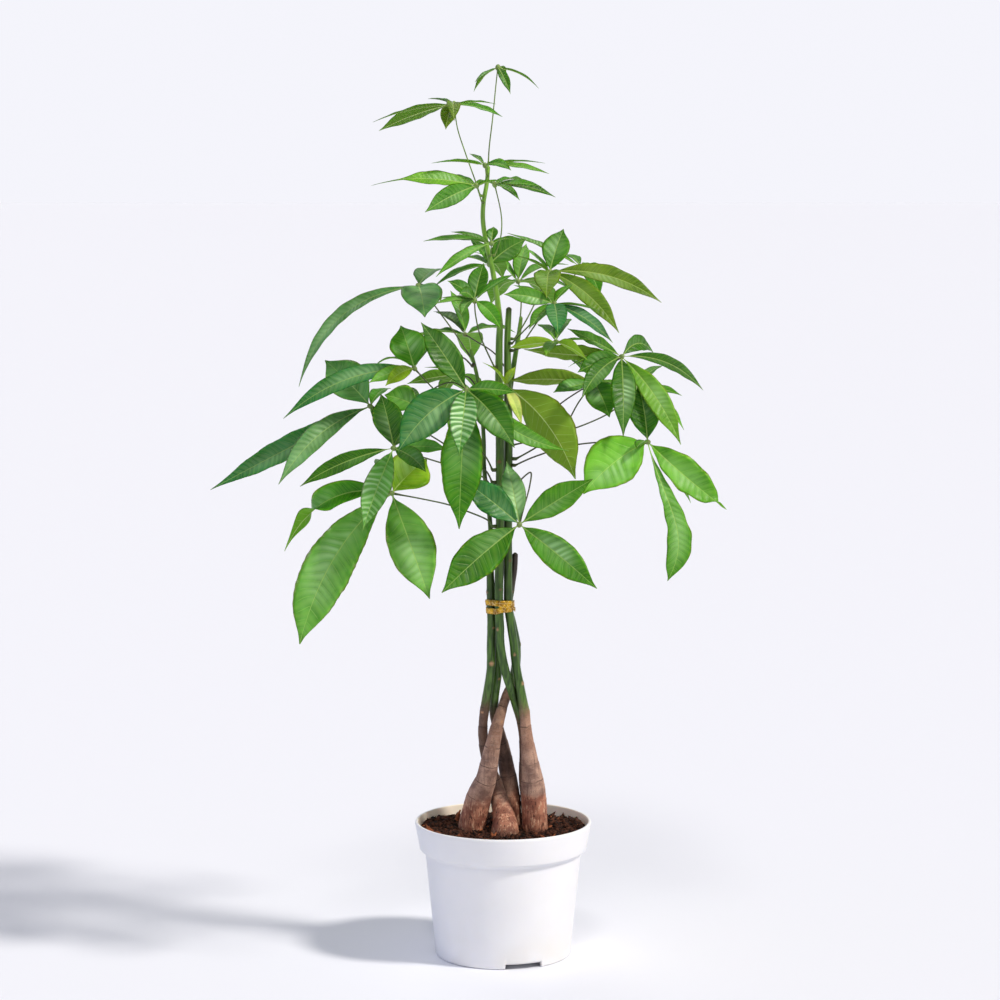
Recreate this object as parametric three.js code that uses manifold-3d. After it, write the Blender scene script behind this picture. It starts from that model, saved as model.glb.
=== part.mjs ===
// Potted money tree: five stems braided above a white nursery pot and tied with gold tape,
// carrying hand-shaped leaves of five to nine long leaflets each.
// Millimetres, +Z up, the front of the plant toward -Y, the pot's underside on z = 0.

import * as THREE from "three";
import { mergeVertices } from "three/addons/utils/BufferGeometryUtils.js";
import Module from "manifold-3d";

const wasm = await Module();
wasm.setup();
const { Manifold, Mesh } = wasm;

// ---------------------------------------------------------------- sizes

const SIDES = 36; // facets round the pot and the soil
const STEM_SIDES = 8;
const PETIOLE_SIDES = 4;
const GAP = 0.3; // clearance between separate pieces

const BLADE = 0.8; // thickness of a leaflet
const PETIOLE_ROOT = 1.5; // radius of a leaf stalk at the stem
const PETIOLE_TOP = 1.0; // and under its knob
const KNOB = 3.2; // knob that the leaflets spring from
const ROOT_GAP = 0.45; // from a stem's skin to the foot of a leaf stalk

const SOIL_TOP = 120;
const HOLE_FLOOR = 74; // how deep the stems stand in the soil
const TIE_HEIGHT = 339; // where the tape goes round the stems

// Positions on the plant are written as they line up from the front with the plane y = 0,
// from an eye at this place; "seen" pushes them along that line of sight to their real depth.
const EYE = [-3, -2830, 773];

// ---------------------------------------------------------------- small vector helpers

const add = (a, b) => [a[0] + b[0], a[1] + b[1], a[2] + b[2]];
const sub = (a, b) => [a[0] - b[0], a[1] - b[1], a[2] - b[2]];
const mul = (a, k) => [a[0] * k, a[1] * k, a[2] * k];
const dot = (a, b) => a[0] * b[0] + a[1] * b[1] + a[2] * b[2];
const cross = (a, b) => [
  a[1] * b[2] - a[2] * b[1],
  a[2] * b[0] - a[0] * b[2],
  a[0] * b[1] - a[1] * b[0],
];
const size = (a) => Math.hypot(a[0], a[1], a[2]);
const unit = (a) => mul(a, 1 / size(a));
const mix = (a, b, t) => add(mul(a, 1 - t), mul(b, t));
const radians = (a) => (a * Math.PI) / 180;

function seen(x, z, y) {
  const k = 1 + y / -EYE[1];
  return [EYE[0] + (x - EYE[0]) * k, y, EYE[2] + (z - EYE[2]) * k];
}

// Value of a table of [place, value] rows at t, in straight steps.
function along(rows, t) {
  let i = 0;
  while (i < rows.length - 2 && t > rows[i + 1][0]) i += 1;
  const [a, b] = [rows[i], rows[i + 1]];
  const k = Math.min(1, Math.max(0, (t - a[0]) / (b[0] - a[0])));
  return a[1] + (b[1] - a[1]) * k;
}

// ---------------------------------------------------------------- solids

// A closed solid from rings of points: the rings are joined in order and both ends closed,
// the far one in a point where one is given.
function skin(rings, point) {
  const points = rings.flat();
  const n = rings[0].length;
  const faces = [];
  for (let i = 0; i < rings.length - 1; i += 1) {
    for (let j = 0; j < n; j += 1) {
      const a = i * n + j;
      const b = i * n + ((j + 1) % n);
      faces.push([a, b, b + n], [a, b + n, a + n]);
    }
  }
  const last = (rings.length - 1) * n;
  for (let j = 1; j < n - 1; j += 1) {
    faces.push([0, j + 1, j]);
    if (!point) faces.push([last, last + j, last + j + 1]);
  }
  if (point) {
    points.push(point);
    for (let j = 0; j < n; j += 1) faces.push([last + j, last + ((j + 1) % n), last + n]);
  }
  return solid(points, faces);
}

function solid(points, faces) {
  const mesh = new Mesh({
    numProp: 3,
    vertProperties: new Float32Array(points.flat()),
    triVerts: new Uint32Array(faces.flat()),
  });
  mesh.merge();
  const made = new Manifold(mesh);
  return made.volume() < 0 ? solid(points, faces.map(([a, b, c]) => [a, c, b])) : made;
}

// A solid of revolution from [radius, height] points that start and end on the axis.
function turned(profile, sides = SIDES) {
  const rings = profile.slice(1, -1).map(([r, z]) => {
    const ring = [];
    for (let j = 0; j < sides; j += 1) {
      const a = (2 * Math.PI * j) / sides;
      ring.push([r * Math.cos(a), r * Math.sin(a), z]);
    }
    return ring;
  });
  const points = rings.flat();
  const faces = [];
  for (let i = 0; i < rings.length - 1; i += 1) {
    for (let j = 0; j < sides; j += 1) {
      const a = i * sides + j;
      const b = i * sides + ((j + 1) % sides);
      faces.push([a, b, b + sides], [a, b + sides, a + sides]);
    }
  }
  const first = points.push([0, 0, profile[0][1]]) - 1;
  const final = points.push([0, 0, profile[profile.length - 1][1]]) - 1;
  const last = (rings.length - 1) * sides;
  for (let j = 0; j < sides; j += 1) {
    const k = (j + 1) % sides;
    faces.push([first, k, j], [final, last + j, last + k]);
  }
  return solid(points, faces);
}

// A tube along points with a radius at each; its rings keep the same turn all along.
function tube(path, radii, sides) {
  let side = [1, 0, 0];
  const rings = path.map((p, i) => {
    const back = path[Math.max(0, i - 1)];
    const next = path[Math.min(path.length - 1, i + 1)];
    const ahead = unit(sub(next, back));
    side = unit(sub(side, mul(ahead, dot(side, ahead))));
    const other = cross(ahead, side);
    const ring = [];
    for (let j = 0; j < sides; j += 1) {
      const a = (2 * Math.PI * j) / sides;
      const out = add(mul(side, Math.cos(a)), mul(other, Math.sin(a)));
      ring.push(add(p, mul(out, radii[i])));
    }
    return ring;
  });
  return skin(rings);
}

// A smooth line through points, each stretch cut in as many steps.
function smooth(points, steps) {
  const line = [];
  for (let i = 0; i < points.length - 1; i += 1) {
    const a = points[Math.max(0, i - 1)];
    const b = points[i];
    const c = points[i + 1];
    const d = points[Math.min(points.length - 1, i + 2)];
    for (let s = 0; s < steps; s += 1) {
      const t = s / steps;
      line.push(
        b.map((v, k) => {
          const m = (c[k] - a[k]) / 2;
          const n = (d[k] - v) / 2;
          const u = t * t * t;
          const w = t * t;
          return v * (2 * u - 3 * w + 1) + m * (u - 2 * w + t) + c[k] * (3 * w - 2 * u) + n * (u - w);
        }),
      );
    }
  }
  line.push(points[points.length - 1]);
  return line;
}

function box(x0, x1, y0, y1, z0, z1) {
  const ring = (z) => [[x0, y0, z], [x1, y0, z], [x1, y1, z], [x0, y1, z]];
  return skin([ring(z0), ring(z1)]);
}

// ---------------------------------------------------------------- stems

// Each row: x, z (as seen on the plane y = 0), depth y, radius. From the soil upward.
const STEMS = {
  // starts on the left, crosses in front to the right and ends as a dry stub over the tape
  stem_left: [
    [-31, 100, 4, 13.2], [-31, 118, 4, 13.2], [-24, 150, 0, 12.4], [-16.5, 170, -6, 10],
    [-12.5, 190, -10, 8.4], [-9.5, 205, -11, 7.2], [-6.5, 219, -8, 6.2], [-3, 232, -1, 5.3],
    [0, 242, 6, 4.7], [3, 251, 11, 4.5], [8, 263, 13, 4.4], [12, 280, 12, 4.3],
    [12.5, 300, 9, 4.2], [9, 320, 7.5, 4.1], [5, 338, 7, 4.1], [7.5, 356, 8, 3.6],
    [10.5, 374, 7, 3.1], [11.5, 390, 5, 2.7],
  ],
  // starts in front, slips behind to the left and runs up the left side as a thin stem
  stem_front: [
    [2, 100, -13, 13.4], [2, 117, -13, 13.2], [0.5, 135, -3, 10.8], [-3.5, 150, 8, 8.8],
    [-7.5, 165, 15, 7.1], [-12.5, 180, 15, 6.1], [-16, 192, 13, 5.4], [-18.5, 205, 9, 4.9],
    [-19.5, 220, 5, 4.5], [-17.5, 240, 2, 4.3], [-14.5, 258, -1, 4.2], [-11.5, 280, -3, 4.2],
    [-11.5, 300, -2, 4.2], [-11, 320, -0.5, 4.1], [-11.5, 338, -1, 4.1], [-12, 360, 0, 3.8],
    [-12.5, 385, 1, 3], [-12, 410, 2, 2.3], [-14, 435, 3, 2.2], [-18, 470, 2, 2.1],
    [-18.5, 500, 0, 2], [-21, 535, -5, 1.9], [-25, 560, -10, 1.8], [-31, 584, -16, 1.6],
  ],
  // starts on the right and becomes the right one of the two tall stems, cut off at the top
  stem_right: [
    [31, 100, 0, 12.4], [31, 118, 0, 12.3], [29.5, 150, 0, 12.2], [28, 170, -2, 10.6],
    [25.5, 190, -4, 8], [23.7, 205, -5, 6.2], [22, 220, -5, 5.2], [20.5, 235, -4.5, 5],
    [18, 250, -4, 4.5], [15.3, 264, -3.5, 4.3], [12.5, 280, -3, 4.2], [10.5, 300, -3, 4.2],
    [7.5, 320, -4, 4.1], [5, 338, -4, 4.1], [4.6, 360, -3, 4.1], [4.6, 390, -1, 4],
    [4.6, 420, 0.5, 4], [4.8, 460, 1, 4], [5, 505, 1, 4], [4.5, 550, 1, 3.7],
    [4, 592, 1, 3.2], [5.5, 624, 1, 2.7],
  ],
  // starts at the back right, crosses to the front left and leads on to the top of the plant
  stem_lead: [
    [28, 100, 27, 9.6], [28, 118, 27, 9.5], [26, 150, 26, 9], [23, 170, 22, 8],
    [22, 190, 17, 6.4], [21, 205, 12, 5.5], [19.5, 218, 8.5, 5], [16.8, 230, 6.5, 4.7],
    [12.8, 242, 4.5, 4.4], [9.8, 252, 0.5, 4.3], [6, 263, -4, 4.2], [2.5, 274, -7, 4.2],
    [-0.5, 287, -7.5, 4.2], [-2.8, 302, -7.5, 4.2], [-3.2, 320, -8, 4.1], [-4, 338, -8, 4.1],
    [-4, 360, -7, 4.1], [-3.4, 390, -6, 4.1], [-3, 420, -5, 4], [-3, 460, -5, 4],
    [-3.2, 505, -5, 4], [-4, 550, -5, 3.7], [-3.8, 590, -5, 3.3], [-3.4, 608, -5, 3],
    [-6, 635, -4, 2.6], [-10.5, 661, -2, 2.4], [-16, 685, 0, 2.3], [-19, 705, 2, 2.2],
    [-18.5, 722, 2, 2.1], [-15.5, 740, 3, 2], [-14, 757, 4, 1.9],
  ],
  // starts at the back, passes behind the left stem and carries the leaves at the back
  stem_back: [
    [8, 100, 27, 10], [8, 118, 27, 10], [7.5, 150, 28, 9.4], [6, 165, 28.5, 8.6],
    [3.5, 180, 27.5, 7.8], [0.5, 197, 25, 6.8], [-2.5, 210, 22, 6], [-5.5, 222, 18, 5.3],
    [-8.5, 235, 14.5, 4.7], [-8.3, 250, 11, 4.3], [-6.3, 265, 8, 4.2], [-5.3, 280, 7, 4.2],
    [-6, 300, 7.5, 4.2], [-5, 320, 8.5, 4.1], [-5, 338, 8.5, 4.1], [-3.5, 365, 9, 3.9],
    [-1, 395, 10.5, 3.6], [0.5, 440, 12, 3.3], [2, 490, 13, 3], [5, 535, 16, 2.8],
    [11, 575, 24, 2.4], [15, 600, 30, 2.1], [17, 615, 34, 1.7],
  ],
};

// Rows of a stem in real places: [[x, y, z, radius], ...].
function stemLine(name) {
  const rows = STEMS[name].map(([x, z, y, r]) => [...seen(x, z, y), r]);
  rows[0][2] = HOLE_FLOOR + GAP;
  return rows;
}

const stemLines = Object.fromEntries(Object.keys(STEMS).map((name) => [name, stemLine(name)]));

// Centre and radius of a stem at a real height.
function stemAt(name, z) {
  const rows = stemLines[name];
  let i = 0;
  while (i < rows.length - 2 && z > rows[i + 1][2]) i += 1;
  const k = (z - rows[i][2]) / (rows[i + 1][2] - rows[i][2]);
  return rows[i].map((v, j) => v + (rows[i + 1][j] - v) * k);
}

function stem(name) {
  const rows = stemLines[name];
  return tube(rows.map((row) => row.slice(0, 3)), rows.map((row) => row[3]), STEM_SIDES);
}

// ---------------------------------------------------------------- leaves

// Half-width of a leaflet along its length, as a share of its greatest half-width:
// a short stalk, widest just past the middle, then drawn out to a drip tip.
const OUTLINE = [
  [0, 0.05], [0.06, 0.07], [0.16, 0.42], [0.3, 0.8], [0.46, 1], [0.6, 0.97],
  [0.74, 0.75], [0.86, 0.38], [0.94, 0.13], [1, 0.02],
];
const STATIONS_LONG = [0.17, 0.42, 0.68, 0.87];
const STATIONS_SHORT = [0.2, 0.5, 0.8];
const FOLD = [[0, 0.5], [0.3, 0.34], [1, 0.1]]; // rise of the edges over the midrib
const LONG_LEAFLET = 80;
const NARROW_LEAFLET = 16; // a blade no wider than this is made without its fold
const STALK_START = 1.4; // where a leaflet starts inside the knob

// Which way the upper face of a blade looks. Left alone it looks up; a tilt in degrees counts
// from looking straight to the front (0) over looking up (90) to showing its underside (180).
function facing(ahead, middle, over, tilt) {
  if (tilt === undefined) return over;
  const away = unit(sub(middle, EYE));
  const back = unit(sub(away, mul(ahead, dot(away, ahead))));
  let up = cross(ahead, back);
  if (up[2] < 0) up = mul(up, -1);
  return sub(mul(up, Math.sin(radians(tilt))), mul(back, Math.cos(radians(tilt))));
}

function leaflet(hub, [x, z, y, width, arch = 0.1, tilt, fold = 1]) {
  const tip = seen(x, z, y);
  const chord = sub(tip, hub);
  const length = size(chord);
  const ahead = unit(chord);
  const over = unit(sub([0, -1e-3, 1], mul(ahead, ahead[2] - 1e-3 * ahead[1])));
  const face = facing(ahead, mix(hub, tip, 0.5), over, tilt);
  const control = add(mix(hub, tip, 0.5), mul(over, 2 * arch * length));
  const at = (t) => add(add(mul(hub, (1 - t) ** 2), mul(control, 2 * t * (1 - t))), mul(tip, t * t));
  const section = (t, half, thick) => {
    const p = at(t);
    const tangent = unit(mix(sub(control, hub), sub(tip, control), t));
    const s = unit(cross(tangent, face));
    const n = cross(s, tangent);
    const rise = mul(n, half * fold * along(FOLD, t));
    const up = mul(n, thick / 2);
    const left = add(sub(p, mul(s, half)), rise);
    const right = add(add(p, mul(s, half)), rise);
    const edges = [add(left, up), add(right, up), sub(right, up), sub(left, up)];
    if (width <= NARROW_LEAFLET) return edges;
    return [edges[0], add(p, up), edges[1], edges[2], sub(p, up), edges[3]];
  };
  const stations = length > LONG_LEAFLET ? STATIONS_LONG : STATIONS_SHORT;
  const rings = [section(STALK_START / length, 0.5, 0.9)];
  for (const t of stations) rings.push(section(t, (width / 2) * along(OUTLINE, t), BLADE));
  return skin(rings, tip);
}

function frond({ stem: on, z, path, hub, leaflets }) {
  const knob = seen(...hub);
  const way = path.map((p) => seen(...p));
  const start = [];
  if (on) {
    const [x, y, , r] = stemAt(on, z);
    const middle = [x, y, z];
    const axis = unit(sub(stemAt(on, z + 3), stemAt(on, z - 3)).slice(0, 3));
    const toward = sub(way.length > 0 ? way[0] : knob, middle);
    const out = unit(sub(toward, mul(axis, dot(toward, axis))));
    start.push(add(middle, mul(out, r + ROOT_GAP)));
    way.unshift(add(middle, mul(out, r + 3.5)));
  }
  way.push(knob);
  const line = [...start, ...smooth(way, way.length > 4 ? 1 : 2)];
  const radii = line.map((_, i) => {
    const t = i / (line.length - 1);
    return t === 0 ? PETIOLE_ROOT : PETIOLE_ROOT - 0.2 + (PETIOLE_TOP - PETIOLE_ROOT + 0.2) * t;
  });
  const ball = new THREE.OctahedronGeometry(KNOB, 0);
  const pieces = [tube(line, radii, PETIOLE_SIDES), fromGeometry(ball).translate(knob)];
  for (const row of leaflets) pieces.push(leaflet(knob, row));
  return pieces;
}

// Where each leaf grows and what it carries. A stalk starts on a stem at height z, runs through
// its path to the hub, and every leaflet row gives the tip (x, z as seen, depth y), the width,
// and, where they differ from the usual, the arch, the tilt and the fold of the blade.
const FRONDS = [
  // the young leaf at the very top
  {
    name: "leaf_01", path: [[-14, 757.6, 4], [-13, 775, 4], [-10, 800, 5], [-7, 830, 6]],
    hub: [-5, 848, 6],
    leaflets: [
      [-27, 834, -12, 7, 0.05], [-28, 825, 24, 7, 0.12], [7, 823, -26, 9, 0.08, 20],
      [34, 828, 14, 8, 0.1], [2, 840, 42, 7],
    ],
  },
  // the leaf beside it, reaching to the left
  {
    name: "leaf_02", stem: "stem_lead", z: 728, path: [[-26, 742, -7], [-36, 770, -11], [-43, 792, -14]],
    hub: [-46, 814, -14],
    leaflets: [
      [-123, 797, -6, 11, 0.05], [-117, 789, 30, 17, 0.05, 140], [-71, 819, 26, 8, 0.04],
      [-54, 790, -46, 15, 0.1, 15], [-46, 798, -62, 13, 0.14, 10], [-6, 814, 2, 8, 0.06],
      [0, 802, -34, 10, 0.06, 60],
    ],
  },
  // small leaves round the upper stem
  {
    name: "leaf_03", stem: "stem_lead", z: 747, path: [], hub: [-17, 757, -11],
    leaflets: [
      [-68, 759, -40, 9, 0.05], [-52, 762, 16, 8, 0.05], [44, 749, -20, 10, 0.06, 60],
      [8, 752, -42, 10, 0.1, 40], [40, 759, 16, 8, 0.05], [-32, 768, 28, 7, 0.05],
    ],
  },
  {
    name: "leaf_04", stem: "stem_lead", z: 722, path: [], hub: [-25, 738, -25],
    leaflets: [
      [-100, 744, -44, 17, 0.03, 40], [-125, 738, -12, 9, 0.07], [-74, 713, -66, 19, 0.04, 15],
      [-54, 748, 16, 9, 0.06], [2, 741, -50, 9, 0.08],
    ],
  },
  {
    name: "leaf_05", stem: "stem_lead", z: 672, path: [[-2, 692, 6], [-2, 712, 10]],
    hub: [-8, 739, 16],
    leaflets: [
      [37, 737, -2, 11, 0.05, 60], [50, 727, 30, 12, 0.06, 50], [16, 724, -18, 9, 0.08, 50],
      [-30, 733, 64, 13], [20, 742, 62, 12, 0.08],
    ],
  },
  {
    name: "leaf_06", stem: "stem_lead", z: 672, path: [], hub: [-11, 684, -24],
    leaflets: [
      [-50, 695, -34, 10, 0.05, 70], [-76, 686, -18, 10, 0.06, 60], [-9, 700, -8, 11, 0.1, 10],
      [-64, 652, -52, 12, 0.07, 40], [8, 688, -14, 8, 0.1],
    ],
  },
  // far left, the long arched one
  {
    name: "leaf_07", stem: "stem_front", z: 579, path: [[-44, 597, -2], [-66, 627, 14]],
    hub: [-80, 644, 22],
    leaflets: [
      [-194, 548, 8, 17, 0.17, 42], [-181, 579, 52, 9, 0.15], [-62, 660, 72, 25, 0.08],
      [-74, 614, -24, 39, 0.12, 8], [-58, 628, 78, 17],
    ],
  },
  // the crown above the braid
  {
    name: "leaf_08", stem: "stem_lead", z: 568, path: [[-21, 595, -26], [-26, 616, -40]],
    hub: [-27, 630, -46],
    leaflets: [
      [-18, 666, -26, 19, 0.05, 15], [-53, 649, -56, 15, 0.06, 40], [-42, 636, -88, 11, 0.1, 30],
      [11, 655, -56, 9, 0.06, 50], [-2, 603, -88, 15, 0.06, 15], [-62, 632, -30, 9, 0.06],
      [-65, 627, -72, 9, 0.06, 60], [-40, 616, -86, 11, 0.1],
    ],
  },
  {
    name: "leaf_09", stem: "stem_lead", z: 630, path: [[-7, 650, 14]], hub: [-13, 664, 28],
    leaflets: [
      [22, 688, 44, 24, 0.06, 12], [-67, 642, 42, 12, 0.08, 60], [-32, 690, 58, 14, 0.06],
      [0, 650, 94, 18], [-50, 668, 82, 15, 0.08],
    ],
  },
  {
    name: "leaf_10", stem: "stem_right", z: 594, path: [[22, 612, 4], [34, 636, 9]],
    hub: [44, 657, 12],
    leaflets: [
      [57, 698, 32, 26, 0.04, 8], [150, 628, 14, 20, 0.09, 34], [110, 599, -34, 20, 0.1, 25],
      [16, 682, 26, 9, 0.05], [10, 673, -8, 9, 0.05], [41, 632, -56, 25, 0.1, 10],
    ],
  },
  {
    name: "leaf_11", stem: "stem_back", z: 590, path: [[36, 615, 38], [55, 637, 50]],
    hub: [73, 662, 60],
    leaflets: [
      [95, 660, 92, 13, 0.08], [60, 674, 100, 11, 0.05], [3, 694, 74, 10, 0.04, 60],
      [122, 648, 50, 10, 0.06], [130, 637, 84, 14, 0.08, 50], [92, 634, 26, 16, 0.1, 30],
    ],
  },
  {
    name: "leaf_12", stem: "stem_right", z: 590, path: [[22, 604, -20], [36, 617, -34]],
    hub: [48, 627, -42],
    leaflets: [
      [0, 636, -64, 16, 0.04, 15], [9, 645, -34, 9, 0.05, 60], [94, 619, -52, 9, 0.06],
      [104, 590, -70, 14, 0.06, 40], [52, 597, -104, 20, 0.1, 8], [66, 646, -14, 12, 0.06],
      [24, 603, -84, 14, 0.06, 40],
    ],
  },
  // the right-hand cluster
  {
    name: "leaf_13", stem: "stem_right", z: 480,
    path: [[30, 490, -4], [55, 506, -10], [73, 536, -16], [95, 563, -21]],
    hub: [112, 577, -24],
    leaflets: [
      [60, 604, -12, 14, 0.02, 40], [19, 584, 11, 20, -0.02, 140], [61, 567, -4, 8],
      [70, 562, -42, 21, 0.06, 20], [143, 580, 20, 17, 0.22, 20], [190, 545, -22, 14, 0.12, 35],
      [114, 500, -86, 23, 0.08, 8], [169, 493, -70, 22, 0.06, 10], [74, 537, -82, 18, 0.08, 15],
    ],
  },
  {
    name: "leaf_14", stem: "stem_right", z: 474,
    path: [[30, 482, -14], [62, 492, -28], [96, 496, -43]],
    hub: [137, 496, -58],
    leaflets: [
      [76, 446, -92, 48, 0.06, 12], [128, 551, -40, 30, 0.03, 4], [157, 362, -104, 26, 0.07, 8],
      [213, 431, -84, 31, 0, 22], [179, 437, -44, 13, 0.06, 50], [126, 489, -86, 11],
    ],
  },
  {
    name: "leaf_15", stem: "stem_back", z: 492, path: [[50, 503, 26], [98, 522, 46]],
    hub: [127, 546, 60],
    leaflets: [
      [170, 540, 42, 12, 0.08, 60], [172, 507, 66, 14, 0.1, 50], [112, 566, 108, 15],
      [152, 569, 96, 15], [96, 527, 92, 16], [130, 505, 22, 18],
    ],
  },
  {
    name: "leaf_16", stem: "stem_right", z: 500, path: [[15, 508, 5], [40, 522, 11], [62, 538, 17]],
    hub: [86, 553, 22],
    leaflets: [
      [3, 554, 12, 21, 0.02, 140], [101, 519, -12, 30, 0.08, 8], [118, 544, 46, 14],
      [62, 576, 58, 14, 0.08], [47, 543, -8, 19, 0.03, 50],
    ],
  },
  {
    name: "leaf_17", stem: "stem_right", z: 583, path: [[22, 587, -8], [38, 589, -16]],
    hub: [50, 591, -22],
    leaflets: [
      [5, 585, -14, 14, 0.03, 140], [80, 574, -52, 15, 0.05, 130], [90, 592, -34, 10, 0.05],
      [32, 608, 18, 13, 0.08], [64, 613, 34, 14], [40, 577, -54, 13],
    ],
  },
  // the front of the plant
  {
    name: "leaf_18", stem: "stem_front", z: 571, path: [[-38, 576, -34], [-41, 567, -56], [-38, 557, -70]],
    hub: [-35, 546, -78],
    leaflets: [
      [-100, 487, -118, 37, 0.07, 8], [-42, 482, -148, 25, 0.08, 0, 1.6],
      [-42, 412, -122, 38, 0.04, 0], [11, 490, -116, 30, 0.08, 8], [13, 543, -90, 16, 0.05, 25],
      [-78, 610, -64, 27, 0.03, 12], [63, 487, -88, 18, -0.08, 18],
    ],
  },
  {
    name: "leaf_19", stem: "stem_front", z: 549, path: [[-32, 557, 6]], hub: [-41, 560, 18],
    leaflets: [
      [-92, 551, 6, 15, 0.04, 140], [-75, 567, 34, 10, 0.06], [-52, 587, 58, 14, 0.08],
      [-22, 542, 62, 16], [-60, 536, 66, 17],
    ],
  },
  {
    name: "leaf_20", stem: "stem_front", z: 541, path: [[-45, 552, -10], [-60, 550, -2], [-72, 541, 6]],
    hub: [-80, 529, 12],
    leaflets: [
      [-113, 541, 20, 28, 0.04, 20], [-62, 508, -18, 18], [-70, 500, 40, 18],
      [-98, 549, 54, 15], [-92, 504, -14, 16],
    ],
  },
  // the left-hand cluster
  {
    name: "leaf_21", stem: "stem_lead", z: 470,
    path: [[-16, 481, -9], [-30, 500, -14], [-46, 522, -18], [-62, 542, -18], [-74, 555, -16]],
    hub: [-84, 566, -14],
    leaflets: [
      [-97, 607, 4, 35, 0.03, 8], [-209, 518, -34, 20, 0.09, 28], [-124, 566, 16, 8, 0.2],
      [-128, 552, -36, 14, 0.04, 28], [-112, 549, -60, 14, 0.06, 10], [-60, 596, 22, 15],
    ],
  },
  {
    name: "leaf_22", stem: "stem_lead", z: 458,
    path: [[-16, 468, -6], [-28, 477, 0], [-46, 487, 4], [-62, 498, 6], [-98, 519, 9]],
    hub: [-126, 530, 10],
    leaflets: [
      [-279, 450, -12, 24, 0.02, 26], [-214, 455, -48, 22, 0.08, 20], [-169, 574, 36, 39, 0.03, 12],
      [-106, 547, 56, 16], [-110, 502, 60, 18], [-117, 504, 0, 13],
    ],
  },
  {
    name: "leaf_23", stem: "stem_lead", z: 447,
    path: [[-16, 460, -14], [-32, 468, -24], [-52, 474, -34], [-78, 482, -44]],
    hub: [-104, 490, -54],
    leaflets: [
      [-194, 453, -62, 16, 0.07, 18], [-116, 542, -30, 28, 0.03, 4], [-134, 411, -106, 25, 0.06, 4, 1.6],
      [-73, 467, -98, 18, 0.05, 20], [-52, 489, -72, 15, 0.04, 30], [-92, 523, -14, 27, 0.05, 4],
    ],
  },
  {
    name: "leaf_24", stem: "stem_lead", z: 416,
    path: [[-16, 422, -9], [-35, 430, -14], [-52, 436, -20], [-74, 441, -28]],
    hub: [-106, 447, -36],
    leaflets: [
      [-209, 391, -30, 25, 0.18, 22], [-195, 301, -98, 45, 0.11, 6], [-70, 345, -112, 43, -0.02, 4],
      [-72, 480, 6, 41, 0.03, 12], [-122, 480, 32, 17],
    ],
  },
  // low in front of the stems
  {
    name: "leaf_25", stem: "stem_right", z: 449,
    path: [[14, 457, -20], [26, 467, -46], [25, 453, -72], [20, 434, -90]],
    hub: [15.5, 417, -98],
    leaflets: [
      [-59, 351, -150, 36, 0.02, 4], [90, 355, -144, 29, 0.01, 4], [86, 461, -98, 26, 0.01, 14],
      [3, 478, -60, 22, 0.02, 4], [-42, 462, -88, 28, 0.02, 14],
    ],
  },
  {
    name: "leaf_26", stem: "stem_right", z: 520, path: [[3, 540, -16]], hub: [3, 549, -24],
    leaflets: [
      [69, 460, -70, 42, 0.09, 162], [18, 511, -58, 11, 0.08, 20], [-20, 572, -34, 8],
      [12, 568, -14, 9, 0.1, 30],
    ],
  },
  // the back of the plant
  {
    name: "leaf_27", stem: "stem_back", z: 612, path: [[17, 628, 52], [16, 640, 72]],
    hub: [14, 648, 88],
    leaflets: [
      [62, 664, 124, 20], [-28, 676, 116, 18], [50, 622, 158, 24], [-12, 626, 166, 26],
      [22, 684, 116, 16], [66, 640, 64, 16],
    ],
  },
  {
    name: "leaf_28", stem: "stem_back", z: 560, path: [[-8, 580, 48], [-26, 592, 74]],
    hub: [-36, 598, 92],
    leaflets: [
      [-92, 590, 122, 22], [-66, 620, 136, 18], [-30, 572, 172, 26], [12, 600, 132, 20],
      [-50, 640, 108, 18],
    ],
  },
  {
    name: "leaf_29", stem: "stem_back", z: 505, path: [[-6, 520, 44], [-16, 530, 68]],
    hub: [-24, 534, 86],
    leaflets: [
      [-84, 506, 112, 22], [-52, 504, 162, 26], [2, 500, 150, 24], [-70, 556, 112, 18],
      [10, 534, 116, 18],
    ],
  },
];

// ---------------------------------------------------------------- pot

const POT = [
  [0, 0], [34, 0], [38, 6], [61.6, 6], [62.3, 0], [64.3, 0], [65, 0.8], [75, 99], [76.6, 102.2],
  [80.2, 103], [84.9, 128.4], [84.3, 130], [82.4, 130], [81.9, 129], [78, 105], [73, 99],
  [63, 9.4], [61.6, 8.2], [36.6, 8.2], [33, 2.2], [0, 2.2],
];
const DRAINS = { count: 6, ring: 49, radius: 4 };
const NOTCHES = { count: 3, first: -72, wide: 35, high: 5 };

function pot() {
  let made = turned(POT);
  for (let i = 0; i < DRAINS.count; i += 1) {
    const a = radians(30 + (360 * i) / DRAINS.count);
    const at = [DRAINS.ring * Math.cos(a), DRAINS.ring * Math.sin(a)];
    const drill = tube([[...at, 2], [...at, 12]], [DRAINS.radius, DRAINS.radius], 12);
    made = made.subtract(drill);
  }
  for (let i = 0; i < NOTCHES.count; i += 1) {
    const cut = box(58, 70, -NOTCHES.wide / 2, NOTCHES.wide / 2, -3, NOTCHES.high);
    made = made.subtract(cut.rotate([0, 0, NOTCHES.first + (360 * i) / NOTCHES.count]));
  }
  return made;
}

// ---------------------------------------------------------------- soil

const SOIL_WALL = [[0, 2.5], [32.6, 2.5], [36.3, 8.5], [61.4, 8.5], [62.6, 9.6], [72.5, 99], [77.5, 105.2]];
const SOIL_RINGS = [[80, 0.8], [58, 0.8], [28, 0.6]]; // radius and how far it may rise or sink

// Evenly spread numbers from 0 to 1, the same at every build.
function dice(seed) {
  let state = seed;
  return () => {
    state = (state * 48271) % 2147483647;
    return state / 2147483647;
  };
}

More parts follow.
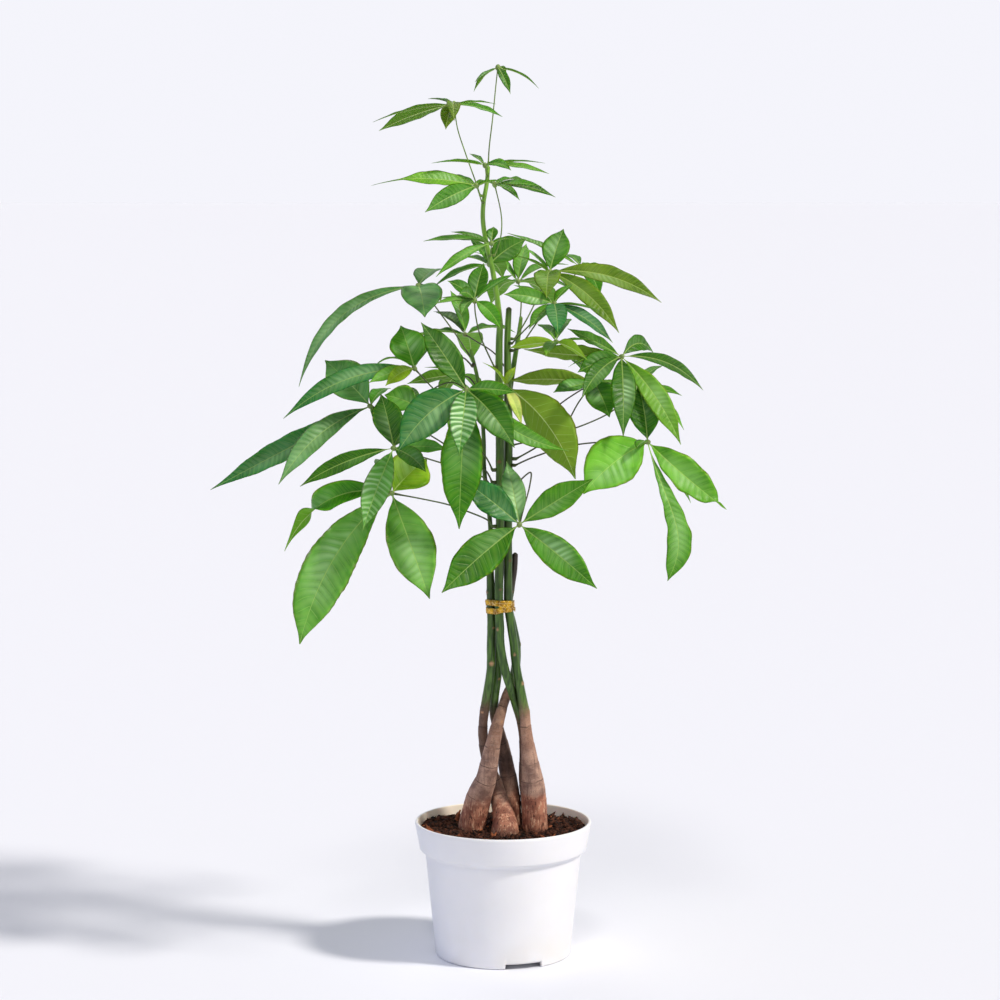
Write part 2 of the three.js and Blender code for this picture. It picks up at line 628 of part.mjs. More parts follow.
function soil() {
  const roll = dice(417);
  const rings = SOIL_WALL.slice(1).map(([r, z]) => ({ r, z, lump: 0 }));
  for (const [r, lump] of SOIL_RINGS) rings.push({ r, z: SOIL_TOP - 0.6, lump: lump * 1.6 });
  const points = [];
  const faces = [];
  for (const { r, z, lump } of rings) {
    for (let j = 0; j < SIDES; j += 1) {
      const a = (2 * Math.PI * j) / SIDES;
      points.push([r * Math.cos(a), r * Math.sin(a), z + lump * (roll() - 0.5) * 2]);
    }
  }
  for (let i = 0; i < rings.length - 1; i += 1) {
    for (let j = 0; j < SIDES; j += 1) {
      const a = i * SIDES + j;
      const b = i * SIDES + ((j + 1) % SIDES);
      faces.push([a, b, b + SIDES], [a, b + SIDES, a + SIDES]);
    }
  }
  const first = points.push([0, 0, SOIL_WALL[0][1]]) - 1;
  const final = points.push([0, 0, SOIL_TOP]) - 1;
  const last = (rings.length - 1) * SIDES;
  for (let j = 0; j < SIDES; j += 1) {
    const k = (j + 1) % SIDES;
    faces.push([first, k, j], [final, last + j, last + k]);
  }
  let made = solid(points, faces);
  for (const name of Object.keys(STEMS)) {
    const rows = stemLine(name).slice(0, 5);
    rows[0][2] = HOLE_FLOOR;
    const radii = rows.map((row) => (row[3] + GAP) / Math.cos(Math.PI / STEM_SIDES));
    made = made.subtract(tube(rows.map((row) => row.slice(0, 3)), radii, STEM_SIDES));
  }
  return made;
}

// ---------------------------------------------------------------- tie

const TIE_LOOPS = [
  // height over the middle, lean from side to side, which way it leans, distance off the stems
  [-2.6, 1.8, 0.4, 0.4], [2.4, -1.8, 1.1, 0.8],
];
const TAPE = { high: 6, thick: 0.9, steps: 16 };

function tie() {
  const loops = TIE_LOOPS.map(([up, lean, way, off]) => {
    const rings = [];
    for (let i = 0; i < TAPE.steps; i += 1) {
      const a = (2 * Math.PI * i) / TAPE.steps;
      const out = [Math.cos(a), Math.sin(a), 0];
      const z = seen(0, TIE_HEIGHT, 0)[2] + up + lean * Math.cos(a - way);
      const h = TAPE.high / 2;
      let best = null;
      for (const name of Object.keys(STEMS)) {
        for (const level of [z - h, z, z + h]) {
          const [x, y, , r] = stemAt(name, level);
          const reach = x * out[0] + y * out[1] + r;
          if (!best || reach > best.reach) best = { reach, x, y, r };
        }
      }
      const at = (o, level) => add([best.x, best.y, z + level], mul(out, best.r + off + o));
      rings.push([at(0, -h), at(TAPE.thick, -h), at(TAPE.thick, h), at(0, h)]);
    }
    const faces = [];
    for (let i = 0; i < TAPE.steps; i += 1) {
      for (let j = 0; j < 4; j += 1) {
        const next = ((i + 1) % TAPE.steps) * 4;
        const a = i * 4 + j;
        const b = i * 4 + ((j + 1) % 4);
        faces.push([a, b, next + ((j + 1) % 4)], [a, next + ((j + 1) % 4), next + j]);
      }
    }
    return solid(rings.flat(), faces);
  });
  return Manifold.union(loops);
}

// ---------------------------------------------------------------- three.js pieces

function fromGeometry(geometry) {
  const bare = geometry.index ? geometry.clone() : geometry;
  bare.deleteAttribute("normal");
  bare.deleteAttribute("uv");
  const joined = mergeVertices(bare, 1e-4);
  const mesh = new Mesh({
    numProp: 3,
    vertProperties: new Float32Array(joined.attributes.position.array),
    triVerts: new Uint32Array(joined.index.array),
  });
  mesh.merge();
  return new Manifold(mesh);
}

function toMesh(name, made, material) {
  const mesh = made.getMesh();
  const geometry = new THREE.BufferGeometry();
  const places = new Float32Array(mesh.numVert * 3);
  for (let i = 0; i < mesh.numVert; i += 1) {
    for (let k = 0; k < 3; k += 1) places[i * 3 + k] = mesh.vertProperties[i * mesh.numProp + k];
  }
  geometry.setAttribute("position", new THREE.BufferAttribute(places, 3));
  geometry.setIndex(Array.from(mesh.triVerts));
  const flat = geometry.toNonIndexed();
  flat.computeVertexNormals();
  const node = new THREE.Mesh(flat, material);
  node.name = name;
  return node;
}

const paint = (color, roughness) => new THREE.MeshStandardMaterial({ color, roughness });
const WHITE = paint(0xeceae6, 0.45);
const EARTH = paint(0x2a1d17, 0.95);
const BARK = paint(0x6d5a45, 0.85);
const GOLD = paint(0xb98a2b, 0.5);
const LEAF = paint(0x3f7d1f, 0.45);

const plant = new THREE.Group();
plant.name = "potted_money_tree";
plant.add(toMesh("pot", pot(), WHITE));
plant.add(toMesh("soil", soil(), EARTH));
for (const name of Object.keys(STEMS)) plant.add(toMesh(name, stem(name), BARK));
plant.add(toMesh("tie", tie(), GOLD));
for (const row of FRONDS) plant.add(toMesh(row.name, Manifold.union(frond(row)), LEAF));

export default plant;
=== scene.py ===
# %% [markdown]
# # A potted money tree, dressed
# Five slim trunks stand in a white nursery pot, cross in a braid and are tied with gold tape.
# Leaves like open hands grow from them, each with four to nine long leaflets on a slim stalk.
# The CAD model fixes every size and place. This script gives each of its pieces the surface
# and the finish of the real plant. All lengths here are in millimetres until a mesh is made.

import math

import bpy
import numpy as np
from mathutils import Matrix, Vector


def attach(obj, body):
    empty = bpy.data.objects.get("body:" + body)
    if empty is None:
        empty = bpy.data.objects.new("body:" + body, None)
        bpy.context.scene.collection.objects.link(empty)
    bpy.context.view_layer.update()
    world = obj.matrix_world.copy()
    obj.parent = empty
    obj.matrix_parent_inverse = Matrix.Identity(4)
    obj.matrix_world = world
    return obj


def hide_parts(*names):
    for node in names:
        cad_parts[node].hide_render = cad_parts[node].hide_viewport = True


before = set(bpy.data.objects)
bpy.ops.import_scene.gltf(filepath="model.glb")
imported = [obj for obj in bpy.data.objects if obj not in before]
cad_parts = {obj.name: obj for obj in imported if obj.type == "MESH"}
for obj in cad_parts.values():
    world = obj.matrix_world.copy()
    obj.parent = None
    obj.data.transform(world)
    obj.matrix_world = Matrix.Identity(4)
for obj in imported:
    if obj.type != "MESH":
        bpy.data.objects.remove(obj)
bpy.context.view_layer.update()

# %% [markdown]
# ## Colours and nodes
# Colours are easiest to write as sRGB hex values, but a shader works with linear light.
# One function turns the first into the second, and one small function adds any shader node.
# A table lists the usual steps of a pattern: mix lays one colour over another by a share,
# stain multiplies them, and range stretches a number so that two limits become 0 and 1.

# %% Colour and node helpers
MM = 0.001


def linear(code, alpha=1.0):
    """sRGB to linear light: c / 12.92 near black, ((c + 0.055) / 1.055) to the 2.4 above."""
    c = np.array([int(code[i : i + 2], 16) / 255 for i in (1, 3, 5)])
    low = c <= 0.04045
    return (*np.where(low, c / 12.92, ((c + 0.055) / 1.055) ** 2.4), alpha)


def add(tree, kind, inputs=None, **settings):
    """Adds a node: settings are its own properties, inputs are numbers, hex codes or
    sockets to link."""
    made = tree.nodes.new(kind)
    for key, value in settings.items():
        setattr(made, key, value)
    for key, value in (inputs or {}).items():
        if isinstance(value, bpy.types.NodeSocket):
            tree.links.new(value, made.inputs[key])
        else:
            value = linear(value) if isinstance(value, str) else value
            made.inputs[key].default_value = value
    return made


MIX_INPUTS = ("Factor", 6, 7)
RANGE_INPUTS = ("Value", "From Min", "From Max", "To Min", "To Max")
STEPS = {
    # name: the node, the inputs that values go to, its settings, the output that is read
    "mix": ("ShaderNodeMix", MIX_INPUTS, {"data_type": "RGBA"}, 2),
    "stain": ("ShaderNodeMix", MIX_INPUTS, {"data_type": "RGBA", "blend_type": "MULTIPLY"}, 2),
    "range": ("ShaderNodeMapRange", RANGE_INPUTS, {"interpolation_type": "SMOOTHSTEP"}, 0),
    "slope": ("ShaderNodeMapRange", RANGE_INPUTS, {"interpolation_type": "LINEAR"}, 0),
    "place": ("ShaderNodeTexCoord", (), {}, "Object"),
    "height": ("ShaderNodeSeparateXYZ", (0,), {}, "Z"),
    "noise": ("ShaderNodeTexNoise", ("Vector", "Scale", "Detail"), {}, 0),
    "creases": ("ShaderNodeTexVoronoi", ("Vector", "Scale"), {"feature": "DISTANCE_TO_EDGE"}, 0),
    "stretch": ("ShaderNodeMapping", ("Vector", "Scale"), {}, 0),
    "bump": ("ShaderNodeBump", ("Height", "Strength", "Distance"), {}, 0),
}
for word in ("add", "subtract", "multiply", "divide", "minimum", "maximum", "fract", "absolute"):
    STEPS[word] = ("ShaderNodeMath", (0, 1), {"operation": word.upper()}, 0)


def step(tree, name, *values):
    """Socket of one of the usual steps of a pattern, fed with numbers, colours or sockets."""
    kind, slots, settings, read = STEPS[name]
    return add(tree, kind, dict(zip(slots, values)), **settings).outputs[read]


def carried(tree, names, read="Fac"):
    """Sockets, by name, of the numbers or colours that the mesh carries at each point."""
    kind = "ShaderNodeAttribute"
    return {name: add(tree, kind, attribute_name=name).outputs[read] for name in names}


def new_material(name, **shader):
    """A material with one Principled shader, and its node tree."""
    material = bpy.data.materials.new(name)
    material.use_nodes = True
    tree = material.node_tree
    tree.nodes.clear()
    surface = add(tree, "ShaderNodeBsdfPrincipled", shader)
    add(tree, "ShaderNodeOutputMaterial", {"Surface": surface.outputs[0]})
    return material, tree, surface


print("middle grey in linear light:", round(float(linear("#808080")[0]), 3))

# %% [markdown]
# ## Directions and paths
# Nearly every piece here is a row of rings carried along a path: a trunk, a stalk, a blade,
# the pot. A path goes smoothly through a few points. Places are given as the front view shows
# them, with a depth, because that is how the plant was measured, so one function turns them
# into real ones. Whole arrays are worked out at once.

# %% Directions and paths
EYE = np.array([-3.0, -2830.0, 773.0])  # the camera's place


def unit(v):
    """The same direction, one long."""
    return v / np.linalg.norm(v, axis=-1, keepdims=True)


def dot(a, b):
    """How far a reaches along b, for whole rows of directions."""
    return np.sum(a * b, axis=-1, keepdims=True)


def seen(x, z, y):
    """A place that lines up, from the front, with x and z on the plane y = 0, at depth y."""
    k = 1 + y / -EYE[1]
    return np.array([EYE[0] + (x - EYE[0]) * k, y, EYE[2] + (z - EYE[2]) * k])


def through(points, steps):
    """A smooth line through points: on each stretch a cubic whose slope at a point is half
    the way from the point before it to the point after it."""
    p = np.asarray(points, float)
    slope = (np.vstack([p[1:], p[-1:]]) - np.vstack([p[:1], p[:-1]])) / 2
    t = (np.arange(steps) / steps)[None, :, None]
    a, b, m, n = p[:-1, None], p[1:, None], slope[:-1, None], slope[1:, None]
    u, w = t**3, t**2
    line = a * (2 * u - 3 * w + 1) + m * (u - 2 * w + t) + b * (3 * w - 2 * u) + n * (u - w)
    return np.vstack([line.reshape(-1, p.shape[1]), p[-1:]])


def sway(*places, seed, count=5):
    """Gentle noise from -1 to 1: a sum of sine waves of growing pitch with seeded phases."""
    roll = np.random.default_rng(seed)
    total = 0.0
    for i in range(count):
        wave = roll.uniform(-1, 1, len(places)) * 1.6**i
        total = total + np.sin(sum(w * p for w, p in zip(wave, places)) + roll.uniform(0, 6.3))
    return total / count


print("seen at x 100, z 400, a point 50 mm behind the middle is at", seen(100, 400, 50).round(1))

# %% [markdown]
# ## Skins and tubes
# A form is a stack of rings with the same number of points in each. Faces between one ring
# and the next join them into a skin, and a fan of triangles closes each end. This gives
# clean, closed surfaces, and any number that a ring point carries stays with it.

# %% Skins and tubes
def skin(rings, data=None, material=0):
    """A closed surface through rings of points, each end closed on its ring's middle.
    data holds one value, or one row of values, for each ring point."""
    n, m, _ = rings.shape
    index = np.arange(n * m).reshape(n, m)
    turn = np.roll(index, -1, axis=1)
    quads = np.stack([index[:-1], turn[:-1], turn[1:], index[1:]], -1).reshape(-1, 4)
    start, end = np.full(m, n * m), np.full(m, n * m + 1)
    first = np.stack([turn[0], index[0], start], -1)
    last = np.stack([index[-1], turn[-1], end], -1)
    points = np.vstack([rings.reshape(-1, 3), rings[0].mean(0), rings[-1].mean(0)])
    rows = {}
    for name, value in (data or {}).items():
        flat = value.reshape(n * m, -1)
        rows[name] = np.vstack([flat, flat[:m].mean(0), flat[-m:].mean(0)])
    return {"points": points, "quads": quads, "tris": np.vstack([first, last]),
            "data": rows, "material": material}


def tube(path, radii, sides, hint=(1.0, 0.0, 0.0), data=None, material=0):
    """Rings round a path: centre + radius * (side * cos a + other * sin a). radii is one
    number a ring, or one for each point of each ring."""
    path = np.asarray(path, float)
    ahead = unit(np.gradient(path, axis=0))
    side = unit(np.asarray(hint) - dot(np.asarray(hint), ahead) * ahead)
    other = np.cross(ahead, side)
    a = np.arange(sides) * 2 * np.pi / sides
    out = side[:, None] * np.cos(a)[None, :, None] + other[:, None] * np.sin(a)[None, :, None]
    reach = np.asarray(radii, float).reshape(len(path), -1, 1)
    return skin(path[:, None] + out * reach, data, material)


sample = tube([(0, 0, 0), (0, 0, 5), (0, 0, 10)], [1, 1, 1], 8)
print("a tube of three rings of eight has", len(sample["points"]), "points with both ends")

# %% [markdown]
# ## One object for each piece
# Several skins become one Blender object. The numbers that their points carry, such as how
# much bark there is, become attributes of the mesh, and a material can read those. Each object
# rides on the plant's only body and stands in for its CAD node.

# %% One object for each piece
def new_piece(name, parts, materials, replaces):
    """One object from several closed surfaces, riding on the plant's only body."""
    starts = np.cumsum([0] + [len(part["points"]) for part in parts])
    points = np.vstack([part["points"] for part in parts]) * MM
    quads = [part["quads"] + s for part, s in zip(parts, starts)]
    tris = [part["tris"] + s for part, s in zip(parts, starts)]
    faces = [row for block in zip(quads, tris) for group in block for row in group.tolist()]
    mesh = bpy.data.meshes.new(name)
    mesh.from_pydata(points, [], faces)
    mesh.polygons.foreach_set("use_smooth", np.ones(len(faces), bool))
    kinds = [np.full(len(p["quads"]) + len(p["tris"]), p["material"]) for p in parts]
    mesh.polygons.foreach_set("material_index", np.concatenate(kinds).astype(np.int32))
    names = sorted({key for part in parts for key in part["data"]})
    for key in names:
        wide = max(part["data"][key].shape[1] for part in parts if key in part["data"])
        blank = [np.zeros((len(part["points"]), wide)) for part in parts]
        rows = np.vstack([part["data"].get(key, b) for part, b in zip(parts, blank)])
        kind = "FLOAT" if wide == 1 else "FLOAT_COLOR"
        layer = mesh.attributes.new(key, kind, "POINT")
        layer.data.foreach_set("value" if wide == 1 else "color", rows.ravel().astype(np.float32))
    for material in materials:
        mesh.materials.append(material)
    mesh.update()
    piece = bpy.data.objects.new(name, mesh)
    bpy.context.scene.collection.objects.link(piece)
    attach(piece, "root")
    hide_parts(*replaces)
    print(name, "has", sum(len(q) * 2 for q in quads) + sum(map(len, tris)), "triangles")
    return piece


print("one millimetre is", MM, "of a scene unit")

# %% [markdown]
# ## The camera and the room
# The picture was taken from almost three metres away with a long lens, a little above the
# middle of the plant and looking slightly down. A far camera keeps the pot's rim a slim oval.

# %% Camera
LENS = 107.8  # millimetres, on a sensor 36 mm wide
LOOKS_DOWN = 6.7  # degrees

camera_data = bpy.data.cameras.new("camera")
camera_data.sensor_width = 36.0
camera_data.lens = LENS
camera_data.clip_end = 100.0
camera = bpy.data.objects.new("camera", camera_data)
camera.location = EYE * MM
camera.rotation_euler = (math.radians(90 - LOOKS_DOWN), 0.0, 0.0)
bpy.context.scene.collection.objects.link(camera)
bpy.context.scene.camera = camera
bpy.context.scene.view_settings.view_transform = "Standard"
print("the camera stands", -EYE[1] * MM, "m in front of the plant's middle")

# %% [markdown]
# Soft daylight fills the room from a pale sky. It is brighter on some sides than on others, as
# walls and ceiling are in a real room, and a little blue on the left, which gives the pot its
# cool shade. The world shader does it from the direction alone, with no picture to load.

# %% Room light
world = bpy.data.worlds.new("daylight")
world.use_nodes = True
tree = world.node_tree
sky = tree.nodes["Background"]
toward = add(tree, "ShaderNodeTexCoord").outputs["Generated"]
split_way = add(tree, "ShaderNodeSeparateXYZ", {0: toward})
bluish = step(tree, "range", split_way.outputs[0], -0.2, -0.9)
bluish = step(tree, "multiply", bluish, step(tree, "range", split_way.outputs[2], 0.02, 0.12))
tree.links.new(step(tree, "mix", bluish, "#f8f8ff", "#bfd0ff"), sky.inputs["Color"])
wall = step(tree, "range", split_way.outputs[1], -0.6, 0.7, 0.78, 0.97)
ceiling = step(tree, "range", split_way.outputs[0], -0.3, -1.0, 0.24, 0.8)
high = step(tree, "range", split_way.outputs[2], 0.12, 0.42)
strength = step(tree, "multiply", wall, step(tree, "subtract", 1.0, high))
strength = step(tree, "add", strength, step(tree, "multiply", ceiling, high))
tree.links.new(strength, sky.inputs["Strength"])
bpy.context.scene.world = world
print("the room's light is made by", len(tree.nodes), "nodes")

# %% [markdown]
# A large window on the right gives the pot its bright side and lights the leaves partly from
# behind. Two weaker ones soften the shade. Each is a sun lamp, whose rays are all parallel,
# with a wide source, so that its shadows have soft edges.

# %% Windows
def daylight(name, way, strength, softness, colour):
    """Light from far off, travelling along way; softness is the width of its source in
    degrees, which blurs its shadows."""
    data = bpy.data.lights.new(name, "SUN")
    data.energy = strength
    data.angle = math.radians(softness)
    data.color = linear(colour)[:3]
    lamp = bpy.data.objects.new(name, data)
    lamp.rotation_euler = Vector(way).to_track_quat("-Z", "Y").to_euler()
    bpy.context.scene.collection.objects.link(lamp)


daylight("window_right", (-1.0, 0.45, -1.15), 2.75, 8, "#fff9ef")
daylight("window_front", (0.1, 0.8, -1.0), 0.65, 12, "#fffaf0")
daylight("window_back", (0.25, -0.8, -1.0), 0.35, 30, "#fdfbf2")
print("lamps in the room:", len(bpy.data.lights))

# %% [markdown]
# The floor is one large matt square. It lies a hair below the pot, so that the two never
# share a plane. It isn't part of the plant.

# %% Floor
FLOOR_HALF = 40.0  # metres
FLOOR_LEVEL = -0.0003

floor_paint, tree, surface = new_material("floor_matt_paint", Roughness=0.75)
surface.inputs["Base Color"].default_value = linear("#e8eaf3")
floor_mesh = bpy.data.meshes.new("floor")
square = ((-1, -1), (1, -1), (1, 1), (-1, 1))
corners = [(x * FLOOR_HALF, y * FLOOR_HALF, FLOOR_LEVEL) for x, y in square]
floor_mesh.from_pydata(corners, [], [(0, 1, 2, 3)])
floor_mesh.materials.append(floor_paint)
floor = bpy.data.objects.new("floor", floor_mesh)
bpy.context.scene.collection.objects.link(floor)
print("the floor lies", -FLOOR_LEVEL / MM, "mm below the pot")

# %% [markdown]
# ## The nursery pot
# The pot is injection-moulded polypropylene: a thin cone with a wide collar, a rounded rim
# and a foot ring with notches that let water out. It is a profile turned round the axis.
# Moulded corners are never sharp, so every corner of the profile is rounded first.

# %% Pot profile
POT = [
    (0, 0, 0), (34, 0, 0.8), (38, 6, 0.8), (61.6, 6, 0.6), (62.3, 0, 0.5), (64.3, 0, 0.6),
    (65, 0.8, 0.4), (75, 99, 1.5), (76.6, 102.2, 1.0), (80.2, 103, 1.4), (84.9, 128.4, 0.9),
    (84.3, 130, 0.7), (82.4, 130, 0.5), (81.9, 129, 0.5), (78, 105, 1.6), (73, 99, 1.6),
    (63, 9.4, 1.2), (61.6, 8.2, 0.8), (36.6, 8.2, 0.8), (33, 2.2, 0.8), (0, 2.2, 0),
]


def rounded(profile, bits=5):
    """Each corner (radius, height, how far the rounding reaches) becomes a parabola between
    two points that far before and after it, so straight runs stay straight."""
    p = np.array([row[:2] for row in profile], float)
    reach = np.array([row[2] for row in profile], float)[1:-1, None]
    before, after = p[:-2] - p[1:-1], p[2:] - p[1:-1]
    start = p[1:-1] + unit(before) * reach
    stop = p[1:-1] + unit(after) * reach
    t = np.linspace(0, 1, bits)[None, :, None]
    curve = start[:, None] * (1 - t) ** 2 + p[1:-1, None] * 2 * t * (1 - t) + stop[:, None] * t**2
    return np.vstack([p[:1], curve.reshape(-1, 2), p[-1:]])


def finer(profile, longest):
    """Long straight runs of a profile cut into short ones, so that a pattern can bend them."""
    rows = [profile[:1]]
    for a, b in zip(profile[:-1], profile[1:]):
        n = max(1, int(np.ceil(np.linalg.norm(b - a) / longest)))
        rows.append(a + (b - a) * (np.arange(1, n + 1) / n)[:, None])
    return np.vstack(rows)


def turned(profile, angles):
    """A profile carried round the axis: x = r cos a, y = r sin a, with every ring point's
    height as it is, so the caller may lift some of them."""
    r, z = profile[:, :1], profile[:, 1:]
    return np.stack([r * np.cos(angles), r * np.sin(angles), z + 0 * angles], -1)


print("pot:", 2 * max(row[0] for row in POT), "mm across,", max(row[1] for row in POT), "mm high")

# %% [markdown]
# The foot ring has three wide, low notches that let water run out from under the pot. The
# points just there are lifted by the notch's height, which keeps the wall closed and costs
# no Boolean. Extra columns of points at each notch's two sides keep those sides steep.

# %% Pot with its notched foot
NOTCHES = {"count": 3, "first": -72, "wide": 35, "high": 5, "radius": 63.5}
NOTCH_SIDE = 0.35  # degrees over which a notch rises to its full height
FOOT_INSIDE = 61  # radius inside which nothing is lifted

half_notch = math.degrees(math.asin(NOTCHES["wide"] / 2 / NOTCHES["radius"]))
centres = NOTCHES["first"] + np.arange(NOTCHES["count"]) * 360 / NOTCHES["count"]
outer_notch = half_notch + NOTCH_SIDE
lips = np.add.outer(centres, [-outer_notch, -half_notch, half_notch, outer_notch])
angles = np.unique(np.round(np.concatenate([np.arange(0, 360, 1.875), lips.ravel() % 360]), 3))
away = np.abs((angles[:, None] - centres + 180) % 360 - 180).min(1)
cut = np.clip((outer_notch - away) / NOTCH_SIDE, 0, 1)

pot_rings = turned(finer(rounded(POT)[1:-1], 6.0), np.radians(angles))
foot = np.hypot(pot_rings[..., 0], pot_rings[..., 1]) > FOOT_INSIDE
foot = foot & (pot_rings[..., 2] < NOTCHES["high"])
lifted = np.maximum(pot_rings[..., 2], cut * NOTCHES["high"])
pot_rings[..., 2] = np.where(foot, lifted, pot_rings[..., 2])
print("the pot's wall has", pot_rings.shape[0], "rings of", pot_rings.shape[1], "points")

# %% [markdown]
# The plastic is white and slightly translucent, so light glows through its thin rim. Moulded
# polypropylene has a soft satin face with very faint flow marks, and collects a little dust
# low down.

# %% Moulded polypropylene
plastic, tree, surface = new_material("polypropylene_injection_moulded", Roughness=0.42, IOR=1.49)
surface.inputs["Subsurface Weight"].default_value = 0.25
surface.inputs["Subsurface Radius"].default_value = (1.0, 0.85, 0.65)
surface.inputs["Subsurface Scale"].default_value = 2 * MM
place = step(tree, "place")
height = step(tree, "height", place)
cloud = step(tree, "noise", place, 14, 4)
dusty = step(tree, "range", height, 0.045, 0.0, 0.0, 0.5)
dust = step(tree, "multiply", dusty, step(tree, "range", cloud, 0.42, 0.7))
white = step(tree, "mix", step(tree, "range", cloud, 0.3, 0.7), "#e9e9ec", "#e4e4e7")
# painted light: the inside of the wall above the soil is painted a warm cream, for the warm light
# bounced there
across = add(tree, "ShaderNodeVectorMath", {0: place, 1: (1, 1, 0)}, operation="MULTIPLY")
across = across.outputs[0]
radius = add(tree, "ShaderNodeVectorMath", {0: across}, operation="LENGTH").outputs["Value"]
wall = step(tree, "subtract", radius, step(tree, "multiply", height, 0.1625))
inside = step(tree, "range", wall, 0.0617, 0.0611)
inside = step(tree, "multiply", inside, step(tree, "range", height, 0.1035, 0.1045))
white = step(tree, "mix", step(tree, "multiply", inside, 0.75), white, "#f1e2cb")
tree.links.new(step(tree, "mix", dust, white, "#dcd8cf"), surface.inputs["Base Color"])
bump = step(tree, "bump", step(tree, "noise", place, 900, 2), 0.08, 0.2 * MM)
tree.links.new(bump, surface.inputs["Normal"])

pot = new_piece("nursery_pot", [skin(pot_rings)], [plastic], ["pot"])

# %% [markdown]
# Six drain holes go through the pot's floor. A Boolean difference drills them, which is the
# simplest way to make a round hole in a finished shell.

# %% Drain holes
DRAINS = {"count": 6, "first": 30, "circle": 49, "radius": 4}

drill_rings = []
for i in range(DRAINS["count"]):
    a = math.radians(DRAINS["first"] + 360 / DRAINS["count"] * i)
    x, y = DRAINS["circle"] * math.cos(a), DRAINS["circle"] * math.sin(a)
    drill_rings.append(tube([(x, y, z) for z in (3, 7, 11)], [DRAINS["radius"]] * 3, 20))
drill_mesh = bpy.data.meshes.new("drill")
drill_points = np.vstack([part["points"] for part in drill_rings]) * MM
drill_faces = []
for i, part in enumerate(drill_rings):
    shift = i * len(part["points"])
    drill_faces += (part["quads"] + shift).tolist() + (part["tris"] + shift).tolist()
drill_mesh.from_pydata(drill_points, [], drill_faces)
drill = bpy.data.objects.new("drill", drill_mesh)
bpy.context.scene.collection.objects.link(drill)
holes = pot.modifiers.new("drains", "BOOLEAN")
holes.operation = "DIFFERENCE"
holes.solver = "EXACT"
holes.object = drill
graph = bpy.context.evaluated_depsgraph_get()
pot_mesh = bpy.data.meshes.new_from_object(pot.evaluated_get(graph))
pot.modifiers.clear()
pot.data = pot_mesh
bpy.data.objects.remove(drill)
print("pot faces after drilling:", len(pot_mesh.polygons))

# %% [markdown]
# ## The trunks
# Each trunk is a young stem: swollen and barky at the foot, slim and green higher up. The
# rows give x and z as seen from the front, the depth y and the radius, from the soil upward.

